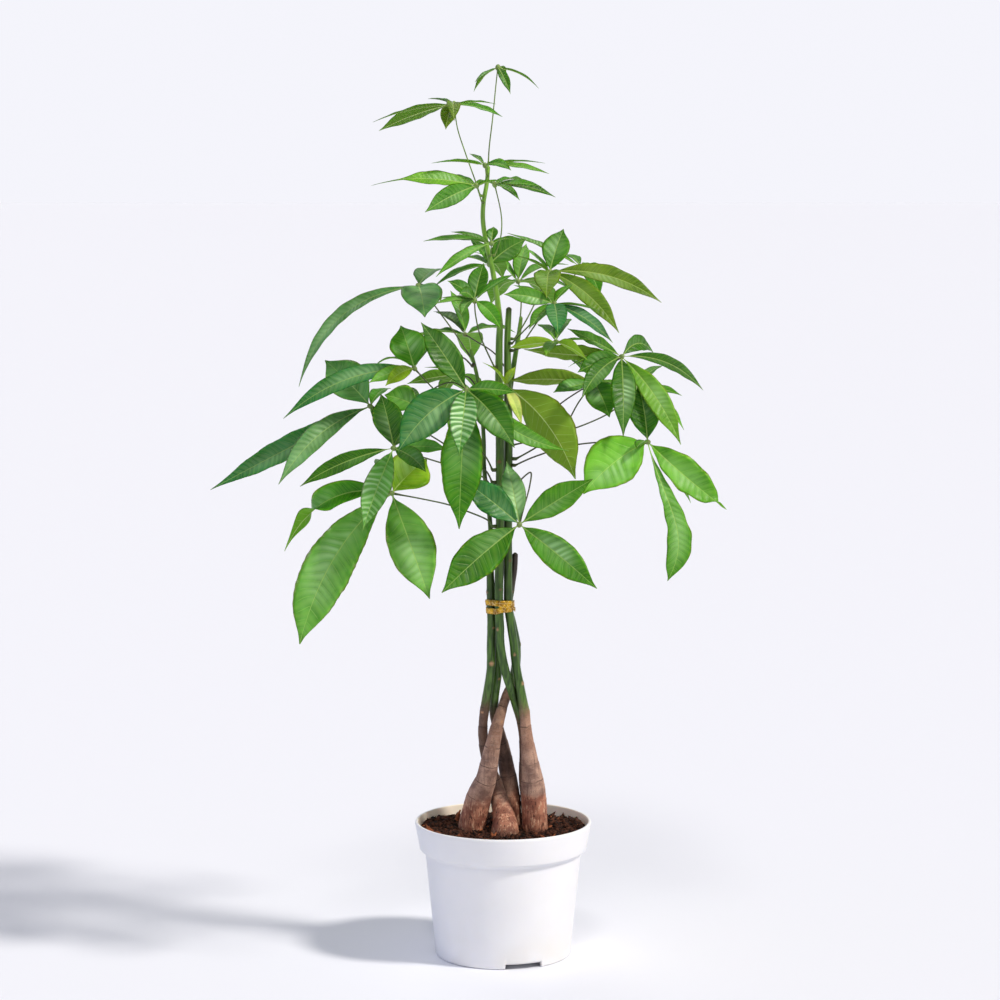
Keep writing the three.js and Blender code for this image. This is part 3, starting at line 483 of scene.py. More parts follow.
# %% Trunk rows
STEMS = {
    "stem_left": [
        (-31, 100, 4, 13.2), (-31, 118, 4, 13.2), (-24, 150, 0, 12.4), (-16.5, 170, -6, 10),
        (-12.5, 190, -10, 8.4), (-9.5, 205, -11, 7.2), (-6.5, 219, -8, 6.2), (-3, 232, -1, 5.3),
        (0, 242, 6, 4.7), (3, 251, 11, 4.5), (8, 263, 13, 4.4), (12, 280, 12, 4.3),
        (12.5, 300, 9, 4.2), (9, 320, 7.5, 4.1), (5, 338, 7, 4.1), (7.5, 356, 8, 3.6),
        (10.5, 374, 7, 3.1), (11.5, 390, 5, 2.7),
    ],
    "stem_front": [
        (2, 100, -13, 13.4), (2, 117, -13, 13.2), (0.5, 135, -3, 10.8), (-3.5, 150, 8, 8.8),
        (-7.5, 165, 15, 7.1), (-12.5, 180, 15, 6.1), (-16, 192, 13, 5.4), (-18.5, 205, 9, 4.9),
        (-19.5, 220, 5, 4.5), (-17.5, 240, 2, 4.3), (-14.5, 258, -1, 4.2), (-11.5, 280, -3, 4.2),
        (-11.5, 300, -2, 4.2), (-11, 320, -0.5, 4.1), (-11.5, 338, -1, 4.1), (-12, 360, 0, 3.8),
        (-12.5, 385, 1, 3), (-12, 410, 2, 2.3), (-14, 435, 3, 2.2), (-18, 470, 2, 2.1),
        (-18.5, 500, 0, 2), (-21, 535, -5, 1.9), (-25, 560, -10, 1.8), (-31, 584, -16, 1.6),
    ],
    "stem_right": [
        (31, 100, 0, 12.4), (31, 118, 0, 12.3), (29.5, 150, 0, 12.2), (28, 170, -2, 10.6),
        (25.5, 190, -4, 8), (23.7, 205, -5, 6.2), (22, 220, -5, 5.2), (20.5, 235, -4.5, 5),
        (18, 250, -4, 4.5), (15.3, 264, -3.5, 4.3), (12.5, 280, -3, 4.2), (10.5, 300, -3, 4.2),
        (7.5, 320, -4, 4.1), (5, 338, -4, 4.1), (4.6, 360, -3, 4.1), (4.6, 390, -1, 4),
        (4.6, 420, 0.5, 4), (4.8, 460, 1, 4), (5, 505, 1, 4), (4.5, 550, 1, 3.7),
        (4, 592, 1, 3.2), (5.5, 624, 1, 2.7),
    ],
    "stem_lead": [
        (28, 100, 27, 9.6), (28, 118, 27, 9.5), (26, 150, 26, 9), (23, 170, 22, 8),
        (22, 190, 17, 6.4), (21, 205, 12, 5.5), (19.5, 218, 8.5, 5), (16.8, 230, 6.5, 4.7),
        (12.8, 242, 4.5, 4.4), (9.8, 252, 0.5, 4.3), (6, 263, -4, 4.2), (2.5, 274, -7, 4.2),
        (-0.5, 287, -7.5, 4.2), (-2.8, 302, -7.5, 4.2), (-3.2, 320, -8, 4.1), (-4, 338, -8, 4.1),
        (-4, 360, -7, 4.1), (-3.4, 390, -6, 4.1), (-3, 420, -5, 4), (-3, 460, -5, 4),
        (-3.2, 505, -5, 4), (-4, 550, -5, 3.7), (-3.8, 590, -5, 3.3), (-3.4, 608, -5, 3),
        (-6, 635, -4, 2.6), (-10.5, 661, -2, 2.4), (-16, 685, 0, 2.3), (-19, 705, 2, 2.2),
        (-18.5, 722, 2, 2.1), (-15.5, 740, 3, 2), (-14, 757, 4, 1.9),
    ],
    "stem_back": [
        (8, 100, 27, 10), (8, 118, 27, 10), (7.5, 150, 28, 9.4), (6, 165, 28.5, 8.6),
        (3.5, 180, 27.5, 7.8), (0.5, 197, 25, 6.8), (-2.5, 210, 22, 6), (-5.5, 222, 18, 5.3),
        (-8.5, 235, 14.5, 4.7), (-8.3, 250, 11, 4.3), (-6.3, 265, 8, 4.2), (-5.3, 280, 7, 4.2),
        (-6, 300, 7.5, 4.2), (-5, 320, 8.5, 4.1), (-5, 338, 8.5, 4.1), (-3.5, 365, 9, 3.9),
        (-1, 395, 10.5, 3.6), (0.5, 440, 12, 3.3), (2, 490, 13, 3), (5, 535, 16, 2.8),
        (11, 575, 24, 2.4), (15, 600, 30, 2.1), (17, 615, 34, 1.7),
    ],
}
STEM_ROWS = {
    name: np.array([(*seen(x, z, y), r) for x, z, y, r in rows]) for name, rows in STEMS.items()
}


def stem_at(name, z):
    """Centre and radius of a trunk at a real height, in straight steps between its rows."""
    rows = STEM_ROWS[name]
    return np.array([np.interp(z, rows[:, 2], rows[:, k]) for k in (0, 1, 2, 3)])


for name, rows in STEM_ROWS.items():
    print(name, "ends", round(float(rows[-1, 2])), "mm above the table")

# %% [markdown]
# Bark stops at a different height on each trunk. Pale scars show where old leaf stalks have
# dropped off. The surface is worked out as a radius for each point: the row's radius, some
# slow swelling, fine rings and splits in the bark, and a raised lip at each scar.

# %% Bark, scars and how close the trunks are
BARK_TOP = {
    "stem_left": 258, "stem_front": 246, "stem_right": 240, "stem_lead": 228, "stem_back": 238,
}
RUST_TOP = {
    "stem_left": 149, "stem_front": 146, "stem_right": 157, "stem_lead": 146, "stem_back": 146,
}
SCARS = {
    # height and direction in degrees, where -90 looks to the front
    "stem_right": [(293, -95), (264, -40), (237, -25), (383, -60), (452, -110), (520, -70)],
    "stem_front": [(284, -85), (352, -150), (318, -60), (236, -120)],
    "stem_back": [(268, -60), (330, 60), (420, 40), (500, 100)],
    "stem_left": [(226, -50), (300, -10), (352, -70)],
    "stem_lead": [(356, -70), (318, -120), (402, -80), (478, -100), (548, -60), (610, -120)],
}
DRY_TOP = {"stem_left": 352, "stem_right": 618}  # above this the tip has died back
# painted shade: how much darker the bark of these trunks is painted above 150 mm, where they lie in
# shade
PAINTED_SHADE = {"stem_front": 0.6, "stem_back": 0.65, "stem_lead": 0.5}  # darker bark higher up


def close_by(name, path, reach, a):
    """How far each point of a trunk is from the nearest other trunk: the level distance to
    that trunk's centre, less its radius."""
    x = path[:, :1] + reach * np.cos(a)
    y = path[:, 1:2] + reach * np.sin(a)
    gaps = []
    for other, rows in STEM_ROWS.items():
        if other != name:
            middle = [np.interp(path[:, 2], rows[:, 2], rows[:, k])[:, None] for k in (0, 1, 3)]
            ended = path[:, 2:] > rows[-1, 2] + 2
            gaps.append(np.where(ended, 99.0, np.hypot(x - middle[0], y - middle[1]) - middle[2]))
    return np.clip(np.min(gaps, 0), 0, None)


def scars_on(name, a, high, radius):
    """Two rows for each ring: where a trunk's leaf scars are, and how far their lips stand up."""
    scar = np.zeros_like(high + a)
    lip = np.zeros_like(high + a)
    for level, way in SCARS[name]:
        round_it = np.abs((a - np.radians(way) + np.pi) % (2 * np.pi) - np.pi) * radius
        small = 0.75 + 0.25 * np.sin(level)
        far = np.hypot(round_it / 2.4, (high - level) / 1.9) / small
        scar = np.maximum(scar, np.clip(1.6 - far * 1.3, 0, 1))
        lip = lip + 0.75 * np.exp(-((far - 1.0) ** 2) * 3)
        lip = lip + 0.35 * np.exp(-(((high - level) / 3.5) ** 2))
    return scar, lip


print("leaf scars on the trunks:", sum(map(len, SCARS.values())))

# %% [markdown]
# ## One trunk
# A trunk follows its rows in rings 1.6 mm apart. Noise that runs round the trunk has to meet
# itself again at the back, so it is asked for at the cosine and the sine of the angle. Every
# share that the material needs later, such as bark or rust, is kept with the points.

# %% One trunk
SIDES = 36
STEM_FOOT = 96.0  # the trunk ends here, inside its hole in the soil
SOIL_LINE = 119  # where the bark meets the soil


def around(a, size):
    """A place on a circle, so that noise asked for there closes on itself."""
    return np.cos(a) * size, np.sin(a) * size


def fades(far):
    """1 well below zero, one half at zero and 0 well above it."""
    return 1 / (1 + np.exp(far))


def trunk_line(name):
    """Centres and radii of a trunk's rings, evenly spaced in height."""
    rows = STEM_ROWS[name]
    start = rows[0].copy()
    start[2] = STEM_FOOT
    line = through(np.vstack([start, rows[1:]]), 1)
    n = int((line[-1, 2] - line[0, 2]) / 1.6)
    fine = through(line, 14)
    z = np.linspace(fine[0, 2], fine[-1, 2], n)
    path = np.stack([np.interp(z, fine[:, 2], fine[:, k]) for k in (0, 1)] + [z], -1)
    return path, np.interp(z, fine[:, 2], fine[:, 3])[:, None]


def trunk(name, seed):
    """A trunk's closed surface, with the shares that its material reads."""
    path, radius = trunk_line(name)
    high = path[:, 2:]
    a = (np.arange(SIDES) * 2 * np.pi / SIDES)[None]
    uneven = 7 * sway(*around(a, 3), high / 12, seed=seed)
    bark = fades((high - BARK_TOP[name] + uneven) / 3.2)
    if name == "stem_right":  # its rusty foot ends crisply
        edge = 2.5 * sway(*around(a, 3), seed=seed + 1)
        rust = fades((high - RUST_TOP[name] + edge) / 0.9)
    else:
        edge = 14 * sway(*around(a, 1.5), high / 9, seed=seed + 1)
        rust = fades((high - RUST_TOP[name] + edge) / 4.0)
    scar, lip = scars_on(name, a, high, radius)
    dry = np.zeros_like(bark)
    if name in DRY_TOP:
        dry = fades(-(high - DRY_TOP[name]) / 3.0) + 0 * a

    swell = 0.03 * radius * sway(*around(a, 1.5), high / 22, seed=seed + 2)
    rings = 0.09 * sway(high / 1.9, *around(a, 0.8), seed=seed + 3, count=4)
    split = sway(*around(a, 9), high / 14, seed=seed + 4, count=6)
    split = -0.32 * np.clip(split - 0.28, 0, 1)
    plates = 0.35 * rust * sway(*around(a, 7), high / 4, seed=seed + 5)
    # scars of the first leaves ring the bark every 15 to 21 mm, each with a small step
    apart = np.random.default_rng(seed + 9).uniform(15, 21)
    ringed = high / apart + 0.25 * sway(high / 30, seed=seed + 9)
    ringed = ringed + 0.05 * sway(*around(a, 1.4), seed=seed + 10)
    ledge = 0.3 * (ringed % 1 - 0.5)
    reach = radius + swell + bark * (rings + split * 2 + plates + ledge) + lip * 0.5
    round_end = np.clip((high[-1] - high) / 1.6, 0, 1) ** 0.5
    reach = reach * (0.35 + 0.65 * round_end)

    # painted shade: the tone share falls above 150 mm on the trunks that lie in shade
    shade = 1 - PAINTED_SHADE.get(name, 0) * np.clip((high - 150) / 30, 0, 1) + 0 * a
    # painted shade: a share of shade where a trunk lies close to another, and at the soil line
    crevice = np.exp(-((close_by(name, path, reach, a) / 3.0) ** 2))
    crevice = np.maximum(crevice, 0.7 * np.exp(-(((high - SOIL_LINE) / 3.0) ** 2)))
    look = {"bark": bark, "rust": rust, "scar": scar, "dry": dry, "tone": shade,
            "crevice": crevice, "ringed": ringed}
    return tube(path, reach, SIDES, data=look)


print("the lead trunk has", len(trunk_line("stem_lead")[0]), "rings of", SIDES, "points")

# %% [markdown]
# One material covers both kinds of skin. Bark is grey-brown and matt, with fine rings and
# a rusty, flaking foot where the soil kept it damp. Green skin is smooth and half-glossy,
# with slim light streaks. The mesh says, at each point, how much of each there is.

# %% Patterns on bark and green skin
stem_skin, tree, surface = new_material("stem_bark_and_green_skin", IOR=1.45)
shares = carried(tree, ("bark", "rust", "scar", "dry", "tone", "crevice", "ringed"))
place = step(tree, "place")
tall = step(tree, "stretch", place, (1.0, 1.0, 0.12))
flat = step(tree, "stretch", place, (0.3, 0.3, 1.0))
oval = step(tree, "stretch", place, (1.0, 1.0, 0.25))
streak = step(tree, "noise", tall, 420, 5)
ring_lines = step(tree, "noise", flat, 520, 5)
patch = step(tree, "noise", place, 95, 6)
fleck = add(tree, "ShaderNodeTexVoronoi", {"Vector": place, "Scale": 620}).outputs["Distance"]
speck = step(tree, "noise", place, 1100, 2)
flakes = step(tree, "noise", oval, 640, 4)
height = step(tree, "height", place)
print("nodes for the bark's patterns:", len(tree.nodes))

# %% [markdown]
# Dry bark is a warm grey, darkened by splits, specks and the ring scars of old leaves. The
# foot is rusty, with pale flakes lifting off dark pits. Each colour is laid over the last one
# by a pattern, as a painter glazes, which keeps every step easy to change.

# %% Bark colours
grey = step(tree, "mix", step(tree, "range", patch, 0.32, 0.68), "#7e5f53", "#b99480")
grey = step(tree, "mix", step(tree, "range", height, 0.18, 0.22, 0, 0.45), grey, "#a97b5f")
grey = step(tree, "mix", step(tree, "range", ring_lines, 0.55, 0.72, 0, 0.3), grey, "#b39c8e")
grey = step(tree, "mix", step(tree, "range", streak, 0.5, 0.7, 0, 0.45), grey, "#5a443a")
grey = step(tree, "mix", step(tree, "range", speck, 0.54, 0.68, 0, 0.5), grey, "#4d3c34")
rusty = step(tree, "mix", step(tree, "range", patch, 0.35, 0.65), "#834e3c", "#b67a60")
rusty = step(tree, "mix", step(tree, "range", streak, 0.54, 0.7, 0, 0.6), rusty, "#542e20")
pick = step(tree, "range", flakes, 0.55, 0.62)
pick = step(tree, "multiply", pick, step(tree, "range", patch, 0.4, 0.52))
rusty = step(tree, "mix", step(tree, "multiply", pick, 0.7), rusty, "#dfb394")
rusty = step(tree, "mix", step(tree, "range", flakes, 0.41, 0.34, 0, 0.85), rusty, "#35190f")
turn = step(tree, "fract", shares["ringed"])
line = step(tree, "minimum", turn, step(tree, "subtract", 1.0, turn))
line = step(tree, "range", line, 0.045, 0.0)
line = step(tree, "multiply", line, step(tree, "range", patch, 0.4, 0.55))
grey = step(tree, "mix", step(tree, "multiply", line, 0.8), grey, "#35241e")
bark_colour = step(tree, "mix", shares["rust"], grey, rusty)
# painted shade: where the tone share falls, the bark is painted towards near black
bark_colour = step(tree, "mix", shares["tone"], "#1c1310", bark_colour)
print("nodes with the bark's colours:", len(tree.nodes))

# %% [markdown]
# Higher up the skin is still green: deep above the braid, where it is partly painted shade
# under the crown, and fresher towards the young tips. The shares on the mesh now choose between
# bark, green skin, scars and dead tips, and painted shade darkens the gaps between the trunks and
# the ring where they enter the soil. Bark is matt with deep relief, green skin smoother and
# glossier.

# %% Green skin, gloss and relief
green = step(tree, "mix", step(tree, "range", streak, 0.35, 0.7), "#2d4c16", "#587e2f")
# partly painted shade: the green above the braid is painted deeper, for the shade under the crown
upper = step(tree, "mix", step(tree, "range", streak, 0.3, 0.7), "#284111", "#4b6d20")
green = step(tree, "mix", step(tree, "range", height, 0.30, 0.36), green, upper)
young = step(tree, "mix", step(tree, "range", streak, 0.3, 0.7), "#5f8f26", "#85af42")
green = step(tree, "mix", step(tree, "range", height, 0.5, 0.66), green, young)
colour = step(tree, "mix", shares["bark"], green, bark_colour)
old = step(tree, "mix", step(tree, "range", height, 0.34, 0.36), "#c08e68", "#6a4330")
colour = step(tree, "mix", shares["scar"], colour, old)
colour = step(tree, "mix", shares["dry"], colour, "#33261d")
# painted shade: the bark is darkened where trunks press together and where they enter the soil
gap_shade_share = step(tree, "multiply", shares["crevice"], 0.85)
colour = step(tree, "mix", gap_shade_share, colour, "#100c08")
tree.links.new(colour, surface.inputs["Base Color"])
rough = step(tree, "range", shares["bark"], 0.0, 1.0, 0.36, 0.7)
tree.links.new(rough, surface.inputs["Roughness"])
relief = step(tree, "add", ring_lines, step(tree, "multiply", streak, 0.8))
relief = step(tree, "add", relief, step(tree, "multiply", fleck, 0.35))
relief = step(tree, "add", relief, step(tree, "multiply", pick, shares["rust"]))
depth = step(tree, "slope", shares["bark"], 0.0, 1.0, 0.06, 0.55)
bump = step(tree, "bump", relief, depth, 0.8 * MM)
tree.links.new(bump, surface.inputs["Normal"])

for i, name in enumerate(STEMS):
    piece_name = name.replace("stem", "trunk")
    new_piece(piece_name, [trunk(name, 40 + 10 * i)], [stem_skin], [name])

# %% [markdown]
# ## The gold tape
# Florist's tape holds the braid: a crinkled metallised strip wound round all five trunks.
# Each wrap touches the outermost trunk in every direction, as a stretched belt does, so its
# distance at an angle is the furthest any trunk reaches that way.

# %% Tape wraps
TAPE_HEIGHT = 339
TAPE_WRAPS = [
    # height over that, lean, direction of the lean, distance off the trunks, width
    (-2.4, 1.9, 0.4, 0.35, 5.6), (2.3, -1.7, 1.1, 0.6, 5.6), (0.2, 4.6, 3.6, 0.95, 3.2),
]


def wrap(up, lean, way, off, wide, seed, steps=180):
    """A closed strip: at each angle the belt's reach, its height tilted by a cosine, and a
    cross-section of a thin crinkled band."""
    a = np.arange(steps + 1) * 2 * np.pi / steps
    out = np.stack([np.cos(a), np.sin(a), 0 * a], -1)
    middle = TAPE_HEIGHT + up + lean * np.cos(a - way)
    levels = middle[:, None] + np.array([-3, 0, 3])
    spots = np.stack([np.stack([stem_at(name, z) for z in levels.ravel()]) for name in STEMS])
    spots = spots.reshape(len(STEMS), steps + 1, 3, 4)
    outward = spots[..., 0] * out[:, 0, None] + spots[..., 1] * out[:, 1, None]
    reach = np.max(outward + spots[..., 3], (0, 2))
    closed = np.concatenate([reach[-7:-1], reach, reach[1:7]])
    reach = np.maximum(reach, np.convolve(closed, np.ones(7) / 7, "same")[6:-6])
    slope = np.gradient(reach, a)
    belt = out * reach[:, None] + np.stack([-np.sin(a), np.cos(a), 0 * a], -1) * slope[:, None]
    v = np.linspace(-1, 1, 7)
    crinkle = 0.22 * sway(a[:, None] * 17, v[None] * 2.2, seed=seed)
    crinkle = crinkle + 0.12 * np.cos(v * np.pi)[None]
    crinkle[-1] = crinkle[0]
    face = belt[:, None] + out[:, None] * (off + 0.45 + crinkle)[..., None]
    face[..., 2] = middle[:, None] + v[None] * wide / 2
    inner = belt[:, None] + out[:, None] * (off + 0.1 + 0.4 * crinkle)[..., None]
    inner[..., 2] = face[..., 2]
    ring = np.concatenate([inner, face[:, ::-1]], 1)[:-1]
    n, m, _ = ring.shape
    index = np.arange(n * m).reshape(n, m)
    right, above = np.roll(index, -1, 0), np.roll(index, -1, 1)
    quads = np.stack([index, right, np.roll(right, -1, 1), above], -1).reshape(-1, 4)
    return {"points": ring.reshape(-1, 3), "quads": quads, "tris": np.zeros((0, 3), int),
            "data": {}, "material": 0}


wraps = [wrap(*row, seed=90 + i) for i, row in enumerate(TAPE_WRAPS)]
print("wraps of tape:", len(wraps), "round", len(STEMS), "trunks")

# %% [markdown]
# The strip is a plastic film with a thin layer of metal, so it is only partly metallic. Its
# creases are painted lighter, as painted highlights. A cell pattern gives straight creases that
# meet at corners, as crumpled foil has, and the same pattern gives the relief.

# %% Metallised gold tape
tape, tree, surface = new_material("metallised_gold_tape", Metallic=0.45, Roughness=0.34)
place = step(tree, "place")
crease = step(tree, "creases", place, 260)
shade = step(tree, "noise", place, 160, 3)
gold = step(tree, "mix", step(tree, "range", shade, 0.35, 0.65), "#8f6208", "#e0ad22")
# painted highlight: the creases are painted a pale gold
gold = step(tree, "mix", step(tree, "range", crease, 0.07, 0.0, 0, 0.6), gold, "#f2dfa0")
tree.links.new(gold, surface.inputs["Base Color"])
bump = step(tree, "bump", crease, 0.5, 0.6 * MM)
tree.links.new(bump, surface.inputs["Normal"])
new_piece("gold_tape", wraps, [tape], ["tie"])

# %% [markdown]
# ## The soil
# Potting soil for such a plant is coir and composted bark: nearly black, loose and full of
# crumbs. A flat disc never looks like soil, so the surface is a lumpy field, and seeded
# crumbs, chips and fibres of real size are strewn over it.

# %% Soil surface
SOIL_LEVEL = 119.6
SOIL_EDGE = 80.0  # radius of the bed at its top
SOIL_WALL = [
    (2, 2.5), (32.6, 2.5), (36.3, 8.5), (61.4, 8.5), (62.6, 9.6), (72.5, 99), (77.5, 105.2),
]


def soil_height(x, y):
    """Height of the soil: nearly level, heaped a little at the back left and right, with
    coarse lumps and finer ones on them."""
    heap = 5.5 * np.exp(-((x + 58) ** 2 + (y - 24) ** 2) / 800)
    heap = heap + 5.0 * np.exp(-((x - 60) ** 2 + (y - 20) ** 2) / 700)
    lumps = 1.3 * sway(x / 3.2, y / 3.2, seed=7, count=6)
    lumps = lumps + 0.9 * sway(x / 1.1, y / 1.1, seed=8, count=6)
    return SOIL_LEVEL + heap + lumps


a = np.arange(240) * 2 * np.pi / 240
wall = turned(finer(np.array(SOIL_WALL, float), 12), a)
reach = np.linspace(SOIL_EDGE, 1.0, 90)[:, None]
top = np.stack([reach * np.cos(a), reach * np.sin(a), 0 * reach * a], -1)
top[..., 2] = soil_height(top[..., 0], top[..., 1])
bed = skin(np.concatenate([wall, top]))
lowest, highest = top[..., 2].min(), top[..., 2].max()
print("the soil's surface lies", round(lowest, 1), "to", round(highest, 1), "mm high")

# %% [markdown]
# A crumb of soil is a little octahedron with its corners pushed about, which costs only eight
# triangles, so thousands can be strewn. Long thin ones pass for coir fibres and flat ones for
# chips of bark. All are worked out together as arrays from one seed for each kind.

# %% Crumbs, chips and fibres
STREWN = 79.0  # radius inside which the grains fall
GRAIN_LIMIT = 79.6  # no grain reaches further out than this


def crumbs(count, low, high, shape, seed, shade):
    """Small eight-sided grains: an octahedron's six corners, pushed about at random, scaled
    to a seeded size and dropped on the soil."""
    roll = np.random.default_rng(seed)
    level = [[1, 0, 0], [0, 1, 0], [-1, 0, 0], [0, -1, 0]]
    corners = np.array(level + [[0, 0, 1], [0, 0, -1]], float)
    faces = [[i, (i + 1) % 4, 4] for i in range(4)] + [[(i + 1) % 4, i, 5] for i in range(4)]
    faces = np.array(faces)
    size = roll.uniform(low, high, (count, 1, 1)) * np.asarray(shape)
    body = corners + roll.uniform(-0.28, 0.28, (count, 6, 3))
    turn = roll.uniform(0, 2 * np.pi, (count, 1))
    lean = roll.uniform(-1.2, 1.2, (count, 1))
    body = body * size
    x = body[..., 0] * np.cos(lean) - body[..., 2] * np.sin(lean)
    z = body[..., 0] * np.sin(lean) + body[..., 2] * np.cos(lean)
    y = body[..., 1]
    x, y = x * np.cos(turn) - y * np.sin(turn), x * np.sin(turn) + y * np.cos(turn)
    far = STREWN * np.sqrt(roll.uniform(0, 1, (count, 1)))
    way = roll.uniform(0, 2 * np.pi, (count, 1))
    cx, cy = far * np.cos(way), far * np.sin(way)
    room = GRAIN_LIMIT - np.abs(body).max((1, 2))[:, None]
    inside = np.clip(room / np.maximum(far, 1), None, 1)
    cx, cy = cx * inside, cy * inside
    points = np.stack([x + cx, y + cy, z + soil_height(cx, cy) + 0.25 * size[..., 2]], -1)
    faces = (faces + (np.arange(count) * 6)[:, None, None]).reshape(-1, 3)
    tone = np.repeat(roll.uniform(shade[0], shade[1], count), 6)[:, None]
    return {"points": points.reshape(-1, 3), "quads": np.zeros((0, 4), int), "tris": faces,
            "data": {"chip": tone}, "material": 0}


grains = [
    crumbs(2600, 0.7, 2.0, (1, 0.8, 0.7), 11, (0.0, 0.2)),
    crumbs(620, 1.8, 4.2, (1, 0.8, 0.65), 12, (0.0, 0.35)),
    crumbs(60, 2.8, 5.8, (1, 0.55, 0.35), 13, (0.6, 1.0)),
    crumbs(160, 2.5, 6.0, (1, 0.07, 0.07), 14, (0.2, 0.6)),
    crumbs(26, 4.5, 7.5, (1, 0.6, 0.4), 16, (0.1, 0.9)),
]
sliver = [(-46, 22, 117), (-45, 22, 124), (-43.5, 22.5, 130), (-41.5, 23, 135)]
grains.append(tube(sliver, [2.0, 2.7, 1.8, 0.6], 6, data={"chip": np.full((4, 6), 1.0)}))
print("corners of the grains on the soil:", sum(len(grain["points"]) for grain in grains))

# %% [markdown]
# Damp coir is dark brown and quite matt. Chips of bark are redder and lighter. The mesh
# marks each grain with a number from 0, plain soil, to 1, a fresh chip.

# %% Coir and bark soil
soil_mix, tree, surface = new_material("potting_soil_coir_and_bark", Roughness=0.95)
surface.inputs["Specular IOR Level"].default_value = 0.25
place = step(tree, "place")
chippy = carried(tree, ["chip"])["chip"]
patch = step(tree, "noise", place, 260, 6)
dark = step(tree, "mix", step(tree, "range", patch, 0.35, 0.7), "#130a07", "#583324")
chip = step(tree, "mix", step(tree, "range", patch, 0.3, 0.7), "#653522", "#a8633f")
chips = step(tree, "range", chippy, 0.35, 0.95)
tree.links.new(step(tree, "mix", chips, dark, chip), surface.inputs["Base Color"])
bump = step(tree, "bump", patch, 0.7, 1.0 * MM)
tree.links.new(bump, surface.inputs["Normal"])
new_piece("coir_soil", [bed, *grains], [soil_mix], ["soil"])

# %% [markdown]
# ## The greens of the leaves
# The plant has many greens: young leaflets are yellowish, old ones deep, and some look whitish
# where a sheen is painted over them. Each leaflet gets one letter. A letter has a colour, and the
# share of painted sheen that lies over it, which is quite small for the letters that aren't listed.

# %% Leaf colours
LEAF_COLOURS = {
    "d": "#306c0b",  # deep
    "m": "#43870f",  # middle
    "b": "#5ba31a",  # bright
    "l": "#74b52a",  # light
    "y": "#9bc02a",  # yellowish
    # the stripes of s and z are painted highlights, and the whitish look of k and w is painted
    # sheen
    "s": "#357f22",  # striped with wax, deep
    "z": "#62a548",  # striped with wax, lighter
    "g": "#216f38",  # bluish green
    "o": "#67841b",  # olive
    "k": "#589054",  # greyish, well covered by wax
    "w": "#66a83c",  # whitish
    # p is partly painted light: a pale green, painted paler for a small leaflet in full light
    "p": "#d0d978",  # very pale
}
# the share of painted sheen laid over each letter's green
SHEEN_SHARE = {"w": 0.66, "b": 0.3, "l": 0.25, "m": 0.12, "k": 0.8, "g": 0.26}
HIGHLIGHT_STRIPED = "sz"
print("greens:", len(LEAF_COLOURS), "of which striped:", len(HIGHLIGHT_STRIPED))

# %% [markdown]
# ## The leaves
# A leaf is a slim stalk with a small knob at its end, where the leaflets spring like fingers.
# Each row below gives a leaflet's tip (x and z as seen, depth y), its width, and where they
# differ from the usual, its arch, its tilt and its fold. The row's look has one colour letter
# for each leaflet. Four leaflets are curled or swung in a way of their own, and a last entry in
# their rows says how.

# %% Leaves at the top
LEAVES = [
    # the young leaf at the very top
    dict(
        name="leaf_01", look="ddddd",
        path=[[-14, 757.6, 4], [-13, 775, 4], [-10, 800, 5], [-7, 830, 6]],
        hub=[-5, 848, 6],
        leaflets=[
            [-27, 834, -12, 7, 0.05], [-28, 825, 24, 7, 0.12], [7, 823, -26, 9, 0.08, 20],
            [34, 828, 14, 8, 0.1], [2, 840, 42, 7],
        ],
    ),
    # the leaf beside it, reaching to the left
    dict(
        name="leaf_02", look="dddoomm", stem="stem_lead", z=728,
        path=[[-26, 742, -7], [-36, 770, -11], [-43, 792, -14]],
        hub=[-46, 814, -14],
        leaflets=[
            [-123, 797, -6, 11, 0.05], [-117, 789, 30, 17, 0.05, 140], [-71, 819, 26, 8, 0.04],
            [-54, 790, -46, 15, 0.1, 15], [-46, 798, -62, 13, 0.14, 10], [-6, 814, 2, 8, 0.06],
            [0, 802, -34, 10, 0.06, 60],
        ],
    ),
    # small leaves round the upper stem
    dict(
        name="leaf_03", look="mmbmmm", stem="stem_lead", z=747, path=[], hub=[-17, 757, -11],
        leaflets=[
            [-68, 759, -40, 9, 0.05], [-52, 762, 16, 8, 0.05], [44, 749, -20, 10, 0.06, 60],
            [8, 752, -42, 10, 0.1, 40], [40, 759, 16, 8, 0.05], [-32, 768, 28, 7, 0.05],
        ],
    ),
    dict(
        name="leaf_04", look="lmmmm", stem="stem_lead", z=722, path=[], hub=[-25, 738, -25],
        leaflets=[
            [-100, 744, -44, 17, 0.03, 40], [-125, 738, -12, 9, 0.07],
            [-74, 713, -66, 19, 0.04, 15], [-54, 748, 16, 9, 0.06], [2, 741, -50, 9, 0.08],
        ],
    ),
    dict(
        name="leaf_05", look="mdmmm", stem="stem_lead", z=672, path=[[-2, 692, 6], [-2, 712, 10]],
        hub=[-8, 739, 16],
        leaflets=[
            [37, 737, -2, 11, 0.05, 60], [50, 727, 30, 12, 0.06, 50], [16, 724, -18, 9, 0.08, 50],
            [-30, 733, 64, 13], [20, 742, 62, 12, 0.08],
        ],
    ),
    dict(
        name="leaf_06", look="dmdbm", stem="stem_lead", z=672, path=[], hub=[-11, 684, -24],
        leaflets=[
            [-50, 695, -34, 10, 0.05, 70], [-76, 686, -18, 10, 0.06, 60],
            [-9, 700, -8, 11, 0.1, 10], [-64, 652, -52, 12, 0.07, 40], [8, 688, -14, 8, 0.1],
        ],
    ),
]

# %% [markdown]
# The crown is a whorl of leaves above the braid, dense and in many directions. One leaf
# arches far out to the left of it. A front view doesn't show how deep a leaf lies, so the
# depths are chosen to let the blades pass one another.

